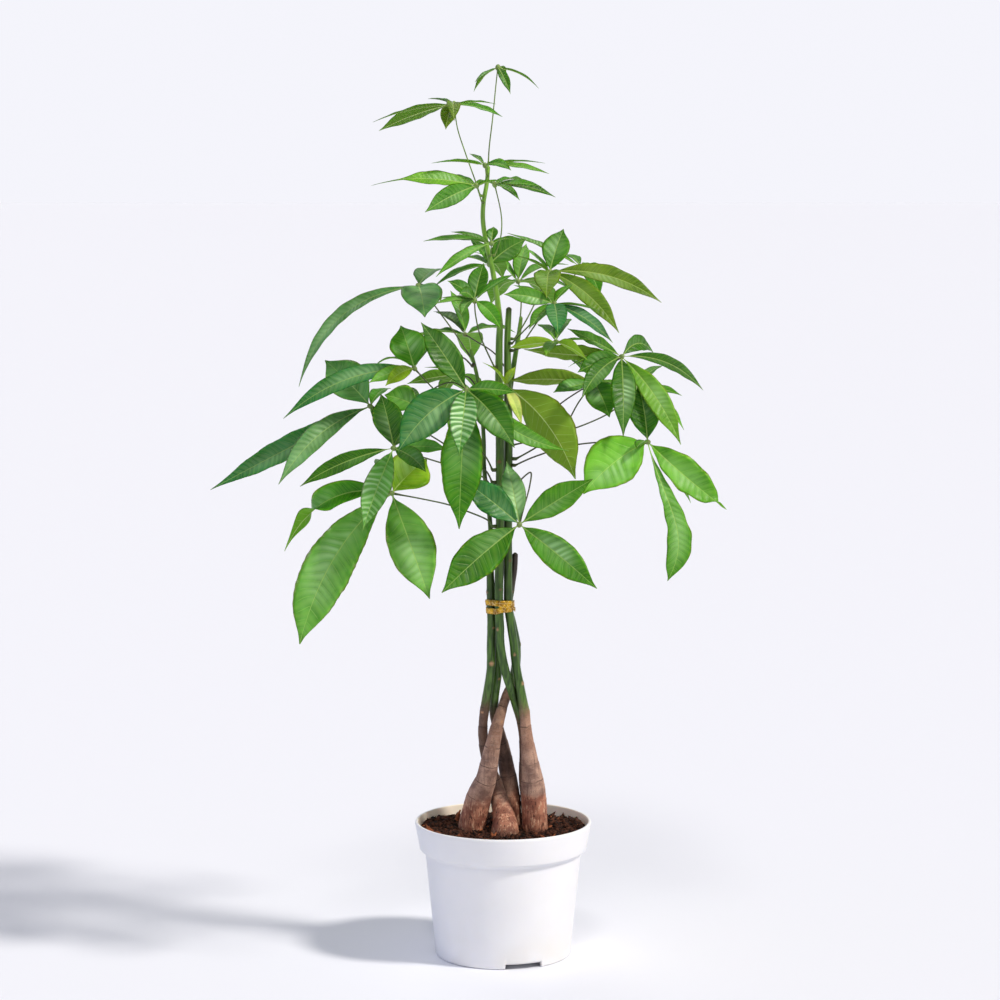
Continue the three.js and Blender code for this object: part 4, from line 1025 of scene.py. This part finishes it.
# %% Leaves of the crown
LEAVES += [
    # far left, the long arched one
    dict(
        name="leaf_07", look="kmkkm", stem="stem_front", z=579,
        path=[[-44, 597, -2], [-66, 627, 14]],
        hub=[-80, 644, 22],
        leaflets=[
            [-194, 548, 8, 17, 0.17, 42], [-181, 579, 52, 9, 0.15], [-62, 660, 72, 25, 0.08],
            [-74, 614, -24, 39, 0.12, 8], [-58, 628, 78, 17],
        ],
    ),
    # the crown above the braid
    dict(
        name="leaf_08", look="ddmmbmmm", stem="stem_lead", z=568,
        path=[[-21, 595, -26], [-26, 616, -40]],
        hub=[-27, 630, -46],
        leaflets=[
            [-18, 666, -26, 19, 0.05, 15], [-53, 649, -56, 15, 0.06, 40],
            [-42, 636, -88, 11, 0.1, 30], [11, 655, -56, 9, 0.06, 50],
            [-2, 603, -88, 15, 0.06, 15], [-62, 632, -30, 9, 0.06], [-65, 627, -72, 9, 0.06, 60],
            [-40, 616, -86, 11, 0.1],
        ],
    ),
    dict(
        name="leaf_09", look="mmmmm", stem="stem_lead", z=630,
        path=[[-7, 650, 14]], hub=[-13, 664, 28],
        leaflets=[
            [22, 688, 44, 24, 0.06, 12], [-67, 642, 42, 12, 0.08, 60], [-32, 690, 58, 14, 0.06],
            [0, 650, 94, 18], [-50, 668, 82, 15, 0.08],
        ],
    ),
    dict(
        name="leaf_10", look="moobmo", stem="stem_right", z=594, path=[[22, 612, 4], [34, 636, 9]],
        hub=[44, 657, 12],
        leaflets=[
            [57, 698, 32, 26, 0.04, 8], [150, 628, 14, 20, 0.09, 34], [110, 599, -34, 20, 0.1, 25],
            [16, 682, 26, 9, 0.05], [10, 673, -8, 9, 0.05], [41, 632, -56, 25, 0.1, 10],
        ],
    ),
    dict(
        name="leaf_11", look="bmmmbm", stem="stem_back", z=590, path=[[36, 615, 38], [55, 637, 50]],
        hub=[73, 662, 60],
        leaflets=[
            [95, 660, 92, 13, 0.08], [60, 674, 100, 11, 0.05], [3, 694, 74, 10, 0.04, 60],
            [122, 648, 50, 10, 0.06], [130, 637, 84, 14, 0.08, 50], [92, 634, 26, 16, 0.1, 30],
        ],
    ),
    dict(
        name="leaf_12", look="mmmggmm", stem="stem_right", z=590,
        path=[[22, 604, -20], [36, 617, -34]],
        hub=[48, 627, -42],
        leaflets=[
            [0, 636, -64, 16, 0.04, 15], [9, 645, -34, 9, 0.05, 60], [94, 619, -52, 9, 0.06],
            [104, 590, -70, 14, 0.06, 40], [52, 597, -104, 20, 0.1, 8], [66, 646, -14, 12, 0.06],
            [24, 603, -84, 14, 0.06, 40],
        ],
    ),
]

# %% [markdown]
# On the right, long stalks leave the trunks low and carry their leaves well out and up.
# One of these leaves has broad blades that hang forward, and two of them turn or twist.

# %% Leaves on the right
LEAVES += [
    # the right-hand cluster
    dict(
        name="leaf_13", look="mommdddld", stem="stem_right", z=480,
        path=[[30, 490, -4], [55, 506, -10], [73, 536, -16], [95, 563, -21]],
        hub=[112, 577, -24],
        leaflets=[
            [60, 604, -12, 14, 0.02, 40], [19, 584, 11, 20, -0.02, 140], [61, 567, -4, 8],
            [70, 562, -42, 21, 0.06, 20], [143, 580, 20, 17, 0.22, 20],
            [190, 545, -22, 14, 0.12, 35], [114, 500, -86, 23, 0.08, 8],
            [169, 493, -70, 22, 0.06, 10], [74, 537, -82, 18, 0.08, 15],
        ],
    ),
    dict(
        name="leaf_14", look="ldbbmm", stem="stem_right", z=474,
        path=[[30, 482, -14], [62, 492, -28], [96, 496, -43]],
        hub=[137, 496, -58],
        leaflets=[
            [76, 446, -92, 48, 0.06, 12], [128, 551, -40, 30, 0.03, 4],
            [157, 362, -104, 26, 0.07, 8, 1, dict(curl=(0, 0.2, 24), bow=-0.075, late=0.5)],
            [213, 431, -84, 31, 0, 22, 1.4, dict(curl=(0.8, 0.95, 110), waved=2.4)],
            [179, 437, -44, 13, 0.06, 50], [126, 489, -86, 11],
        ],
    ),
    dict(
        name="leaf_15", look="mbmmmb", stem="stem_back", z=492, path=[[50, 503, 26], [98, 522, 46]],
        hub=[127, 546, 60],
        leaflets=[
            [170, 540, 42, 12, 0.08, 60], [172, 507, 66, 14, 0.1, 50], [112, 566, 108, 15],
            [152, 569, 96, 15], [96, 527, 92, 16], [130, 505, 22, 18],
        ],
    ),
    dict(
        name="leaf_16", look="ommmm", stem="stem_right", z=500,
        path=[[15, 508, 5], [40, 522, 11], [62, 538, 17]],
        hub=[86, 553, 22],
        leaflets=[
            [3, 554, 12, 21, 0.02, 140], [101, 519, -12, 30, 0.08, 8], [118, 544, 46, 14],
            [62, 576, 58, 14, 0.08], [47, 543, -8, 19, 0.03, 50],
        ],
    ),
    dict(
        name="leaf_17", look="yymbml", stem="stem_right", z=583,
        path=[[22, 587, -8], [38, 589, -16]],
        hub=[50, 591, -22],
        leaflets=[
            [5, 585, -14, 14, 0.03, 140], [80, 574, -52, 15, 0.05, 130], [90, 592, -34, 10, 0.05],
            [32, 608, 18, 13, 0.08], [64, 613, 34, 14], [40, 577, -54, 13],
        ],
    ),
]

# %% [markdown]
# In front a leaf of seven leaflets hangs over the trunks. On the left, four leaves stand one
# over the other on long curved stalks, with their tips drooping.

# %% Leaves in front and on the left
LEAVES += [
    # the front of the plant
    dict(
        name="leaf_18", look="gsmdmdb", stem="stem_front", z=571,
        path=[[-38, 576, -34], [-41, 567, -56], [-38, 557, -70]],
        hub=[-35, 546, -78],
        leaflets=[
            [-100, 487, -118, 37, 0.07, 8], [-42, 482, -148, 25, 0.08, 0, 1.6],
            [-42, 412, -122, 38, 0.04, 0], [11, 490, -116, 30, 0.08, 8],
            [13, 543, -90, 16, 0.05, 25], [-78, 610, -64, 27, 0.03, 12],
            [63, 487, -88, 18, -0.08, 18],
        ],
    ),
    dict(
        name="leaf_19", look="dmmmm", stem="stem_front", z=549,
        path=[[-32, 557, 6]], hub=[-41, 560, 18],
        leaflets=[
            [-92, 551, 6, 15, 0.04, 140], [-75, 567, 34, 10, 0.06], [-52, 587, 58, 14, 0.08],
            [-22, 542, 62, 16], [-60, 536, 66, 17],
        ],
    ),
    dict(
        name="leaf_20", look="bdmmm", stem="stem_front", z=541,
        path=[[-45, 552, -10], [-60, 550, -2], [-72, 541, 6]],
        hub=[-80, 529, 12],
        leaflets=[
            [-113, 541, 20, 28, 0.04, 20], [-62, 508, -18, 18], [-70, 500, 40, 18],
            [-98, 549, 54, 15], [-92, 504, -14, 16],
        ],
    ),
    # the left-hand cluster
    dict(
        name="leaf_21", look="mgmlym", stem="stem_lead", z=470,
        path=[[-16, 481, -9], [-30, 500, -14], [-46, 522, -18], [-62, 542, -18], [-74, 555, -16]],
        hub=[-84, 566, -14],
        leaflets=[
            [-97, 607, 4, 35, 0.03, 8], [-209, 518, -34, 20, 0.09, 28], [-124, 566, 16, 8, 0.2],
            [-128, 552, -36, 14, 0.04, 28], [-112, 549, -60, 14, 0.06, 10], [-60, 596, 22, 15],
        ],
    ),
    dict(
        name="leaf_22", look="gkkmmm", stem="stem_lead", z=458,
        path=[[-16, 468, -6], [-28, 477, 0], [-46, 487, 4], [-62, 498, 6], [-98, 519, 9]],
        hub=[-126, 530, 10],
        leaflets=[
            [-279, 450, -12, 24, 0.02, 26], [-214, 455, -48, 22, 0.08, 20],
            [-169, 574, 36, 39, 0.03, 12], [-106, 547, 56, 16], [-110, 502, 60, 18],
            [-117, 504, 0, 13],
        ],
    ),
    dict(
        name="leaf_23", look="ddzmbd", stem="stem_lead", z=447,
        path=[[-16, 460, -14], [-32, 468, -24], [-52, 474, -34], [-78, 482, -44]],
        hub=[-104, 490, -54],
        leaflets=[
            [-194, 453, -62, 16, 0.07, 18], [-116, 542, -30, 28, 0.03, 4],
            [-134, 411, -106, 25, 0.06, 4, 1.6], [-73, 467, -98, 18, 0.05, 20],
            [-52, 489, -72, 15, 0.04, 30], [-92, 523, -14, 27, 0.05, 4],
        ],
    ),
    dict(
        name="leaf_24", look="mwwym", stem="stem_lead", z=416,
        path=[[-16, 422, -9], [-35, 430, -14], [-52, 436, -20], [-74, 441, -28]],
        hub=[-106, 447, -36],
        leaflets=[
            [-209, 391, -30, 25, 0.18, 22, 1.8, dict(curl=(0.48, 0.8, -140), late=-0.12)],
            [-195, 301, -98, 45, 0.11, 6, dict(late=0.14)], [-70, 345, -112, 43, -0.02, 4],
            [-72, 480, 6, 41, 0.03, 12], [-122, 480, 32, 17],
        ],
    ),
]

# %% [markdown]
# The lowest leaves hang in front of the trunks. Nothing shows the back of the plant, so its
# three leaves are set where such a plant would have them, and it looks whole from every side.

# %% Low leaves and the back
LEAVES += [
    # low in front of the stems
    dict(
        name="leaf_25", look="dmmkg", stem="stem_right", z=449,
        path=[[14, 457, -20], [26, 467, -46], [25, 453, -72], [20, 434, -90]],
        hub=[15.5, 417, -98],
        leaflets=[
            [-59, 351, -150, 36, 0.02, 4], [90, 355, -144, 29, 0.01, 4],
            [86, 461, -98, 26, 0.01, 14], [3, 478, -60, 22, 0.02, 4],
            [-42, 462, -88, 28, 0.02, 14],
        ],
    ),
    dict(
        name="leaf_26", look="opyy", stem="stem_right", z=520,
        path=[[3, 540, -16]], hub=[3, 549, -24],
        leaflets=[
            [69, 460, -70, 42, 0.09, 162], [18, 511, -58, 11, 0.08, 20], [-20, 572, -34, 8],
            [12, 568, -14, 9, 0.1, 30],
        ],
    ),
    # the back of the plant
    dict(
        name="leaf_27", look="mbmmbm", stem="stem_back", z=612, path=[[17, 628, 52], [16, 640, 72]],
        hub=[14, 648, 88],
        leaflets=[
            [62, 664, 124, 20], [-28, 676, 116, 18], [50, 622, 158, 24], [-12, 626, 166, 26],
            [22, 684, 116, 16], [66, 640, 64, 16],
        ],
    ),
    dict(
        name="leaf_28", look="mdbmb", stem="stem_back", z=560, path=[[-8, 580, 48], [-26, 592, 74]],
        hub=[-36, 598, 92],
        leaflets=[
            [-92, 590, 122, 22], [-66, 620, 136, 18], [-30, 572, 172, 26], [12, 600, 132, 20],
            [-50, 640, 108, 18],
        ],
    ),
    dict(
        name="leaf_29", look="dmmbm", stem="stem_back", z=505, path=[[-6, 520, 44], [-16, 530, 68]],
        hub=[-24, 534, 86],
        leaflets=[
            [-84, 506, 112, 22], [-52, 504, 162, 26], [2, 500, 150, 24], [-70, 556, 112, 18],
            [10, 534, 116, 18],
        ],
    ),
]
print("leaves:", len(LEAVES), "leaflets:", sum(len(row["leaflets"]) for row in LEAVES))

# %% [markdown]
# ## One leaflet
# A leaflet is widest just past the middle and drawn out to a drip tip. It hangs from the knob
# in an arch, folds up a little along its midrib, and bulges between its side veins, which is
# what draws the silvery stripes on it in the light. All of that is height over a plain strip.
#
# - The middle line is a parabola from the knob to the tip, lifted in the middle by the arch.
# - The fold lifts the edges, most near the knob.
# - Side veins leave the midrib at about 60 degrees and bend forward near the edge.
# - The edge itself waves slowly, each side in its own way.

# %% Middle line of a leaflet
OUTLINE = [
    (0, 0.05), (0.06, 0.07), (0.16, 0.42), (0.3, 0.8), (0.46, 1), (0.6, 0.97), (0.74, 0.75),
    (0.86, 0.37), (0.92, 0.18), (0.96, 0.09), (1, 0.02),
]
FOLD = [(0, 0.5), (0.3, 0.34), (1, 0.1)]
STALK_START = 1.4  # a leaflet starts this far from the knob's middle, so inside it
TIP_ROOM = 0.6  # and ends this far short of its tip's place, inside the CAD box
BLADE_THICK = 0.42
outline_line = through(OUTLINE, 12)


def facing(ahead, middle, over, tilt):
    """The way the upper face looks: up if tilt is None, else tilt degrees counted from
    straight to the front (0) over up (90) to its underside showing (180)."""
    if tilt is None:
        return over
    away = unit(middle - EYE)
    back = unit(away - dot(away, ahead) * ahead)
    up = np.cross(ahead, back)
    up = -up if up[2] < 0 else up
    return up * math.sin(math.radians(tilt)) - back * math.cos(math.radians(tilt))


def middle_line(knob, tip, arch, tilt):
    """The arched line from knob to tip: shares of its length, points, the ways to its side
    and off its face at each of them, and its length."""
    tip = tip - unit(tip - knob) * TIP_ROOM
    chord = tip - knob
    length = np.linalg.norm(chord)
    ahead = chord / length
    up = np.array([0.0, -1e-3, 1.0])
    over = unit(up - dot(up, ahead) * ahead)
    face = facing(ahead, (knob + tip) / 2, over, tilt)
    control = (knob + tip) / 2 + over * 2 * arch * length
    rows = max(16, int(length / 1.25))
    t = np.linspace(STALK_START / length, 1, rows)[:, None]
    line = knob * (1 - t) ** 2 + control * 2 * t * (1 - t) + tip * t**2
    tangent = unit((control - knob) * (1 - t) + (tip - control) * t)
    side = unit(np.cross(tangent, face))
    return t, line, side, np.cross(side, tangent), length


print("a leaflet is widest at", round(float(outline_line[outline_line[:, 1].argmax(), 0]), 2),
      "of its length")

# %% [markdown]
# The blade's material needs to know what lies at each point: how green it is, how much painted
# sheen lies there, how far it is from the midrib and the side veins. The mesh carries all of that.
# The painted sheen is thickest near the midrib, and on striped leaflets it covers both halves, one
# of them more, as painted highlight stripes. Half of each leaflet also gets a painted glint,
# somewhere along its length: a seeded draw says where.

# %% What a leaflet's points carry
def both(top, under):
    """One ring from two rows: across the upper face, then back along the under face."""
    return np.concatenate([top, under[:, -2:0:-1]], 1)


def leaflet_look(roll, colour, t, v, x_mm, half, veins):
    """The rows that the blade's material reads, with draws from roll for colour and painted sheen.
    """
    one = np.ones_like(x_mm)
    striped = colour in HIGHLIGHT_STRIPED
    tint = np.array(linear(LEAF_COLOURS[colour])) * [*roll.uniform(0.92, 1.08, 3), 1.0]
    tint[:3] *= roll.uniform(0.82, 1.18)
    share = SHEEN_SHARE.get(colour, 0.02)
    # painted sheen: thickest near the midrib, and on striped leaflets over both halves
    wax = 0.4 + 0.3 * (v > 0) if striped else share * (1 - np.abs(v) ** 1.5)
    wax = wax * np.sin(np.pi * np.clip((t - 0.08) / 0.88, 0, 1)) ** 0.7
    wax = wax * (1.0 if striped else roll.uniform(0.5, 1.2))
    # painted highlight: a glint painted on one half of the leaflet, somewhere along its length
    glint = np.exp(-(((t - roll.uniform(0.3, 0.65)) / 0.2) ** 2)) * (1 - v**2)
    glint = glint * (v * roll.choice([-1, 1]) > 0) * roll.uniform(0.2, 1.0)
    wax = wax + 0.6 * glint * (1 - share)
    return {
        "wax": both(wax, 0 * wax),
        "tint": np.broadcast_to(tint, (*both(one, one).shape, 4)),
        "face_up": both(one, 0 * one),
        "striped": both(np.maximum(one * striped, 0.8 * glint), 0 * one),
        "veins": both(veins, veins),
        "off_rib": both(x_mm, x_mm),
        "half_wide": both(half * one, half * one),
        "along": both(t * one, t * one),
    }


print("share of wax on a whitish leaflet:", SHEEN_SHARE["w"], "and on a deep green one: 0.02")

# %% [markdown]
# The blade is a strip of two faces. Across it, points lie closer near the midrib, where the
# relief is finest. Its fold, its bulges, its waves, the groove over the midrib and the rib
# under it are heights, worked out apart and then added. The blade thins out to its edges, so
# that they never look like a blunt wall.

# %% Leaflet surface
def leaflet(knob, x, z, y, width, arch=0.1, tilt=None, fold=1.0, colour="m", seed=0,
            curl=None, bow=0.0, late=0.0, waved=1.0):
    """Two faces over a grid of t along the middle line and v across it, from -1 to 1. curl
    is (where it starts, where it ends, degrees) of a twist about the middle line, bow how far
    that line swings to one side, late moves the widest place outwards, and waved makes the
    waves of the edge higher."""
    roll = np.random.default_rng(seed)
    t, line, side, normal, length = middle_line(knob, seen(x, z, y), arch, tilt)
    place = t ** roll.uniform(0.93, 1.09)
    half = width / 2 * np.interp(place + late * (place**5 - place), *outline_line.T)
    q = np.linspace(-1, 1, 15 if width > 12 else 9)
    v = (np.sign(q) * np.abs(q) ** 1.45)[None]
    s_mm = t * length + 0 * v
    ragged = 1 + 0.045 * sway(s_mm / 8 + np.where(v > 0, 7.0, 0.0), seed=seed + 3)
    x_mm = v * half * ragged

    # the fold, then the bulges between the side veins, then the waves of the edge
    crease = (np.sqrt(v**2 + 0.015) - 0.122) / 0.886
    rise = half * fold * np.interp(t, *np.array(FOLD).T) * crease
    pitch = 2.4 + 0.15 * width
    bend = np.abs(x_mm) * 0.5 + 0.15 * x_mm**2 / np.maximum(half, 0.5)
    uneven = 0.22 * pitch * np.sin(s_mm / (0.7 * pitch) + roll.uniform(0, 6.3) + v)
    veins = (s_mm - bend + uneven) / pitch + np.where(v > 0, roll.uniform(0.2, 0.6), 0.0)
    room = np.clip(half / 4, 0, 1) * (1 - np.abs(v) ** 5) * np.clip(np.abs(x_mm) / 1.5, 0, 1)
    puff = (1.2 if colour in HIGHLIGHT_STRIPED else 0.85) * room
    puff = puff * (0.75 + 0.45 * sway(s_mm / 14, v * 1.5, seed=seed + 5))
    quilt = puff * (np.abs(np.sin(np.pi * veins)) ** 1.4 - 0.5)
    wave_pitch = roll.uniform(17, 30) * (0.6 + width / 60)
    start = np.where(v > 0, roll.uniform(0, 6.3), roll.uniform(0, 6.3))
    wave = np.sin(2 * np.pi * s_mm / wave_pitch + start) * np.abs(v) ** 2.5
    wave = wave * waved * roll.uniform(0.035, 0.09) * half * np.sin(np.pi * t) ** 0.7

    # the groove over the midrib, the rib under it, and the thickness, more at the knob
    groove = -0.22 * np.exp(-((x_mm / 0.8) ** 2)) * (half > 1.5)
    rib = 0.75 * (1 - t) ** 0.7 * np.exp(-((x_mm / 0.75) ** 2)) * (half > 1.0)
    neck = np.exp(-((s_mm / 5.5) ** 2))
    thick = BLADE_THICK * (1 - 0.6 * np.abs(v) ** 3) + 0.9 * neck * (1 - 0.6 * v**2)
    thick = np.minimum(thick, np.maximum(half * 1.2, 0.12))
    level = rise + quilt + wave
    upper, lower = level + thick / 2 + groove, level - thick / 2 - rib

    twist = roll.uniform(-0.12, 0.12) * (t - 0.2)
    if curl:
        share = np.clip((t - curl[0]) / (curl[1] - curl[0]), 0, 1)
        twist = twist + math.radians(curl[2]) * share**2 * (3 - 2 * share)
    across = side * np.cos(twist) + normal * np.sin(twist)
    lifted = normal * np.cos(twist) - side * np.sin(twist)
    # few leaflets are quite straight: the middle line bows to one side by up to 2% of the length
    bow = (bow + roll.uniform(-0.02, 0.02)) * length * np.sin(np.pi * t ** (1 + 2 * late))

    def sheet(height):
        """The points of one face, from their heights over the middle line's plane."""
        out = across[:, None] * x_mm[..., None] + lifted[:, None] * height[..., None]
        return line[:, None] + side[:, None] * bow[..., None] + out

    rings = both(sheet(upper), sheet(lower))
    return skin(rings, leaflet_look(roll, colour, t, v, x_mm, half, veins))


trial = leaflet(np.zeros(3), 0, 100, 0, 30)
print("a leaflet 100 mm long has", len(trial["points"]), "points")

# %% [markdown]
# ## One leaf
# The stalk starts a little inside the trunk's skin, so that it grows out of it, thickens
# there, runs through its points and swells again at the knob. The knob is an oval bead. Young
# stalks are pale green and older ones browned.

# %% Leaf from stalk, knob and leaflets
KNOB_RADIUS = 2.5
BEAD_RINGS, BEAD_SIDES = 9, 14
STALK_SIDES = 8


def stalk_line(leaf, knob):
    """Smooth line from inside the trunk to the knob, leaving the trunk square to it."""
    way = [seen(*p) for p in leaf["path"]]
    start = []
    if "stem" in leaf:
        name, z = leaf["stem"], leaf["z"]
        x, y, _, r = stem_at(name, z)
        middle = np.array([x, y, z])
        axis = unit((stem_at(name, z + 3) - stem_at(name, z - 3))[:3])
        toward = (way[0] if way else knob) - middle
        out = unit(toward - dot(toward, axis) * axis)
        start = [middle + out * (r - 0.8)]
        way = [middle + out * (r + 3.5)] + way
    way = np.array(way + [knob])
    return np.vstack([*start, through(way, 8)]) if start else through(way, 8)


def bead(centre, radius, long_way, colour):
    """An oval: a circle's half turned round an axis, stretched along it."""
    a = np.linspace(0.12, np.pi - 0.12, BEAD_RINGS)
    path = centre + np.outer(-np.cos(a) * radius * 1.25, long_way)
    hint = (0, 0, 1) if abs(long_way[2]) < 0.8 else (1, 0, 0)
    data = {"tint": np.broadcast_to(colour, (BEAD_RINGS, BEAD_SIDES, 4)),
            "along": np.ones((BEAD_RINGS, BEAD_SIDES))}
    return tube(path, np.sin(a) * radius, BEAD_SIDES, hint, data, material=1)


def stalk_colours(knob, number):
    """Colour of a leaf's stalk and of its knob, and how young the leaf is, from 0 to 1."""
    young = np.clip((knob[2] - 560) / 200, 0, 1)
    shade = np.array(linear("#4a6a24")) * (1 - young) + np.array(linear("#8fb550")) * young
    browned = np.random.default_rng(700 + number).uniform(0.3, 0.95) * (1 - 0.5 * young)
    shade = shade * (1 - browned) + np.array(linear("#3f2c26")) * browned
    return shade, 0.4 * shade + 0.6 * np.array(linear("#9cb565")), young


def leaf(row, number):
    """The closed surfaces of one leaf: its stalk, its knob and its leaflets."""
    knob = seen(*row["hub"])
    shade, pale, young = stalk_colours(knob, number)
    line = stalk_line(row, knob)
    n = len(line)
    s = np.linspace(0, 1, n)
    radii = 0.82 - 0.16 * s + 1.1 * np.exp(-((s / 0.05) ** 2))
    radii = radii + 0.7 * np.exp(-(((1 - s) / 0.06) ** 2))
    radii = radii * (1 - 0.22 * young)
    look = {"tint": np.broadcast_to(shade, (n, STALK_SIDES, 4)),
            "along": np.repeat(s[:, None], STALK_SIDES, 1)}
    whole = line[-1] - line[0]
    hint = (0, 0, 1) if abs(whole[2]) < np.linalg.norm(whole) * 0.7 else (0, 1, 0)
    parts = [tube(line, radii, STALK_SIDES, hint, look, material=1)]
    parts.append(bead(knob, KNOB_RADIUS, unit(line[-1] - line[-3]), pale))
    for i, (cells, colour) in enumerate(zip(row["leaflets"], row["look"])):
        cells, more = (cells[:-1], cells[-1]) if isinstance(cells[-1], dict) else (cells, {})
        parts.append(leaflet(knob, *cells, colour=colour, seed=100 * number + i, **more))
    return parts


print("surfaces in the top leaf:", len(leaf(LEAVES[0], 1)))

# %% [markdown]
# ## Leaf and stalk materials
# The blade is a living sheet under a thin wax: green, a little see-through, with a soft gloss
# that breaks on its relief. Its upper face is deeper in colour than its underside, and its
# midrib and side veins are pale. The veins are drawn from the numbers the mesh carries, so
# they sit exactly in the dips between the bulges.

# %% Veins, midrib and edge
blade, tree, surface = new_material("leaf_blade_living_waxy", IOR=1.42)
surface.inputs["Subsurface Weight"].default_value = 0.35
surface.inputs["Specular IOR Level"].default_value = 0.2
surface.inputs["Subsurface Radius"].default_value = (0.6, 1.0, 0.25)
surface.inputs["Subsurface Scale"].default_value = 1.2 * MM
place = step(tree, "place")
shares = carried(tree, ("face_up", "off_rib", "half_wide", "along", "veins", "wax", "striped"))
face_up = shares["face_up"]
off_rib = step(tree, "absolute", shares["off_rib"])
half_wide = shares["half_wide"]
along = shares["along"]
phase = step(tree, "fract", shares["veins"])
from_vein = step(tree, "minimum", phase, step(tree, "subtract", 1.0, phase))
# a side vein takes a tenth of the pitch, so 0.4 to 0.9 mm, and fades out near the edge
vein = step(tree, "range", from_vein, 0.05, 0.0)
edge = step(tree, "divide", off_rib, half_wide)
vein = step(tree, "multiply", vein, step(tree, "range", edge, 0.95, 0.45))
vein = step(tree, "multiply", vein, step(tree, "range", half_wide, 2.0, 5.0))
# the midrib narrows from 1.7 mm at the knob to 0.4 mm at the tip
rib_wide = step(tree, "slope", along, 0.0, 1.0, 0.85, 0.2)
midrib = step(tree, "range", step(tree, "divide", off_rib, rib_wide), 1.0, 0.45)
# the very edge is brownish over its last millimetre, and so is the drip tip
to_edge = step(tree, "subtract", half_wide, off_rib)
rim = step(tree, "range", to_edge, 1.0, 0.2)
rim = step(tree, "maximum", rim, step(tree, "range", along, 0.93, 1.0))
print("nodes for the blade's lines:", len(tree.nodes))

# %% [markdown]
# The colour of the upper face is laid on in glazes over the leaflet's own green: clouds of a
# deeper tone, a painted highlight on the bulges, whitish painted sheen in patches and between
# the veins, then the brown edge and the pale veins. The underside is plainer and paler. The
# painted sheen lies thicker on the bulges.

# %% Colours of both faces
tint = carried(tree, ["tint"], "Color")["tint"]
cloud = step(tree, "noise", place, 45, 4)
patch = step(tree, "noise", place, 22, 2)
deep = step(tree, "stain", 1.0, tint, (0.45, 0.6, 0.3, 1))
light = step(tree, "mix", 0.3, tint, "#a5c04a")
sheen_patch_colour = step(tree, "mix", 0.45, tint, "#a9cc92")
body = step(tree, "mix", step(tree, "range", cloud, 0.3, 0.7), deep, tint)
# painted highlight: the bulges away from the side veins are painted lighter
body = step(tree, "mix", step(tree, "range", from_vein, 0.1, 0.5, 0, 0.3), body, light)
# painted sheen: whitish patches, fading out towards the edge
sheen_patches = step(tree, "range", patch, 0.5, 0.7)
sheen_patches = step(tree, "multiply", sheen_patches, step(tree, "range", edge, 0.95, 0.3))
body = step(tree, "mix", step(tree, "multiply", sheen_patches, 0.16), body, sheen_patch_colour)
# painted highlight: on striped leaflets and where a glint lies, the sheen is drawn as crisp stripes
# between the veins
striped = shares["striped"]
soft = step(tree, "range", from_vein, 0.0, 0.3, 0.7)
crisp = step(tree, "subtract", step(tree, "range", from_vein, 0.12, 0.5, 0.1), soft)
soft = step(tree, "add", soft, step(tree, "multiply", striped, crisp))
# painted sheen: laid over the green between the veins, thicker on the bulges
between = step(tree, "multiply", shares["wax"], soft)
between = step(tree, "multiply", between, step(tree, "range", patch, 0.38, 0.62, 0.45, 1.5))
sheen_colour = step(tree, "mix", striped, step(tree, "mix", 0.7, tint, "#b9dea0"), "#bddfad")
body = step(tree, "mix", between, body, sheen_colour)
rim_dark = step(tree, "stain", 1.0, tint, (0.5, 0.36, 0.3, 1))
body = step(tree, "mix", step(tree, "multiply", rim, 0.7), body, rim_dark)
pale = step(tree, "mix", 0.5, tint, "#c3da7e")
upper_face = step(tree, "mix", step(tree, "multiply", vein, 0.45), body, pale)
upper_face = step(tree, "mix", step(tree, "multiply", midrib, 0.8), upper_face, pale)
under = step(tree, "mix", 0.4, tint, "#8bb039")
under = step(tree, "mix", step(tree, "multiply", vein, 0.4), under, "#b0c878")
under = step(tree, "mix", step(tree, "multiply", midrib, 0.8), under, "#c6d88e")
tree.links.new(step(tree, "mix", face_up, under, upper_face), surface.inputs["Base Color"])
print("nodes with the blade's colours:", len(tree.nodes))

# %% [markdown]
# The upper face is glossier than the underside, unevenly so. Its finest relief is a net of
# tiny cells and the sunken side veins. Both are too fine for the mesh, so a bump does them.

# %% Gloss and fine relief of the blade
gloss = step(tree, "slope", face_up, 0.0, 1.0, 0.55, 0.3)
gloss = step(tree, "add", gloss, step(tree, "range", cloud, 0.3, 0.7, -0.04, 0.08))
tree.links.new(gloss, surface.inputs["Roughness"])
net = step(tree, "range", step(tree, "creases", place, 900), 0.0, 0.12)
relief = step(tree, "add", step(tree, "multiply", net, 0.35), step(tree, "multiply", vein, -1.0))
facing_share = step(tree, "slope", face_up, 0.0, 1.0, 0.15, 1.0)
bump = step(tree, "bump", step(tree, "multiply", relief, facing_share), 0.35, 0.35 * MM)
tree.links.new(bump, surface.inputs["Normal"])
print("nodes in the whole blade:", len(tree.nodes))

# %% [markdown]
# Stalks and knobs are firm green flesh, smoother than bark and with no veins. They share one
# plain material: the colour that the mesh carries, with faint darker clouds, and a little
# light let in under the surface.

# %% Green stalk
stalk, tree, surface = new_material("leaf_stalk_green", Roughness=0.45, IOR=1.45)
surface.inputs["Subsurface Weight"].default_value = 0.2
surface.inputs["Subsurface Scale"].default_value = 0.8 * MM
cloud = step(tree, "noise", step(tree, "place"), 120, 3)
tint = carried(tree, ["tint"], "Color")["tint"]
deep = step(tree, "stain", 1.0, tint, (0.6, 0.66, 0.55, 1))
shaded = step(tree, "mix", step(tree, "range", cloud, 0.35, 0.65), deep, tint)
tree.links.new(shaded, surface.inputs["Base Color"])
print("nodes in the stalk:", len(tree.nodes))

# %% [markdown]
# Now every leaf is made and stands for its CAD node. Each is one object, with the blades and
# the stalk in two materials.

# %% All the leaves
for number, row in enumerate(LEAVES, 1):
    name = row["name"].replace("leaf", "frond")
    new_piece(name, leaf(row, number), [blade, stalk], [row["name"]])

# %% [markdown]
# ## Finish
# The view layer is brought up to date, so that every new piece is in place. The dressed
# plant has to stay inside the CAD box.

# %% Finish
bpy.context.view_layer.update()
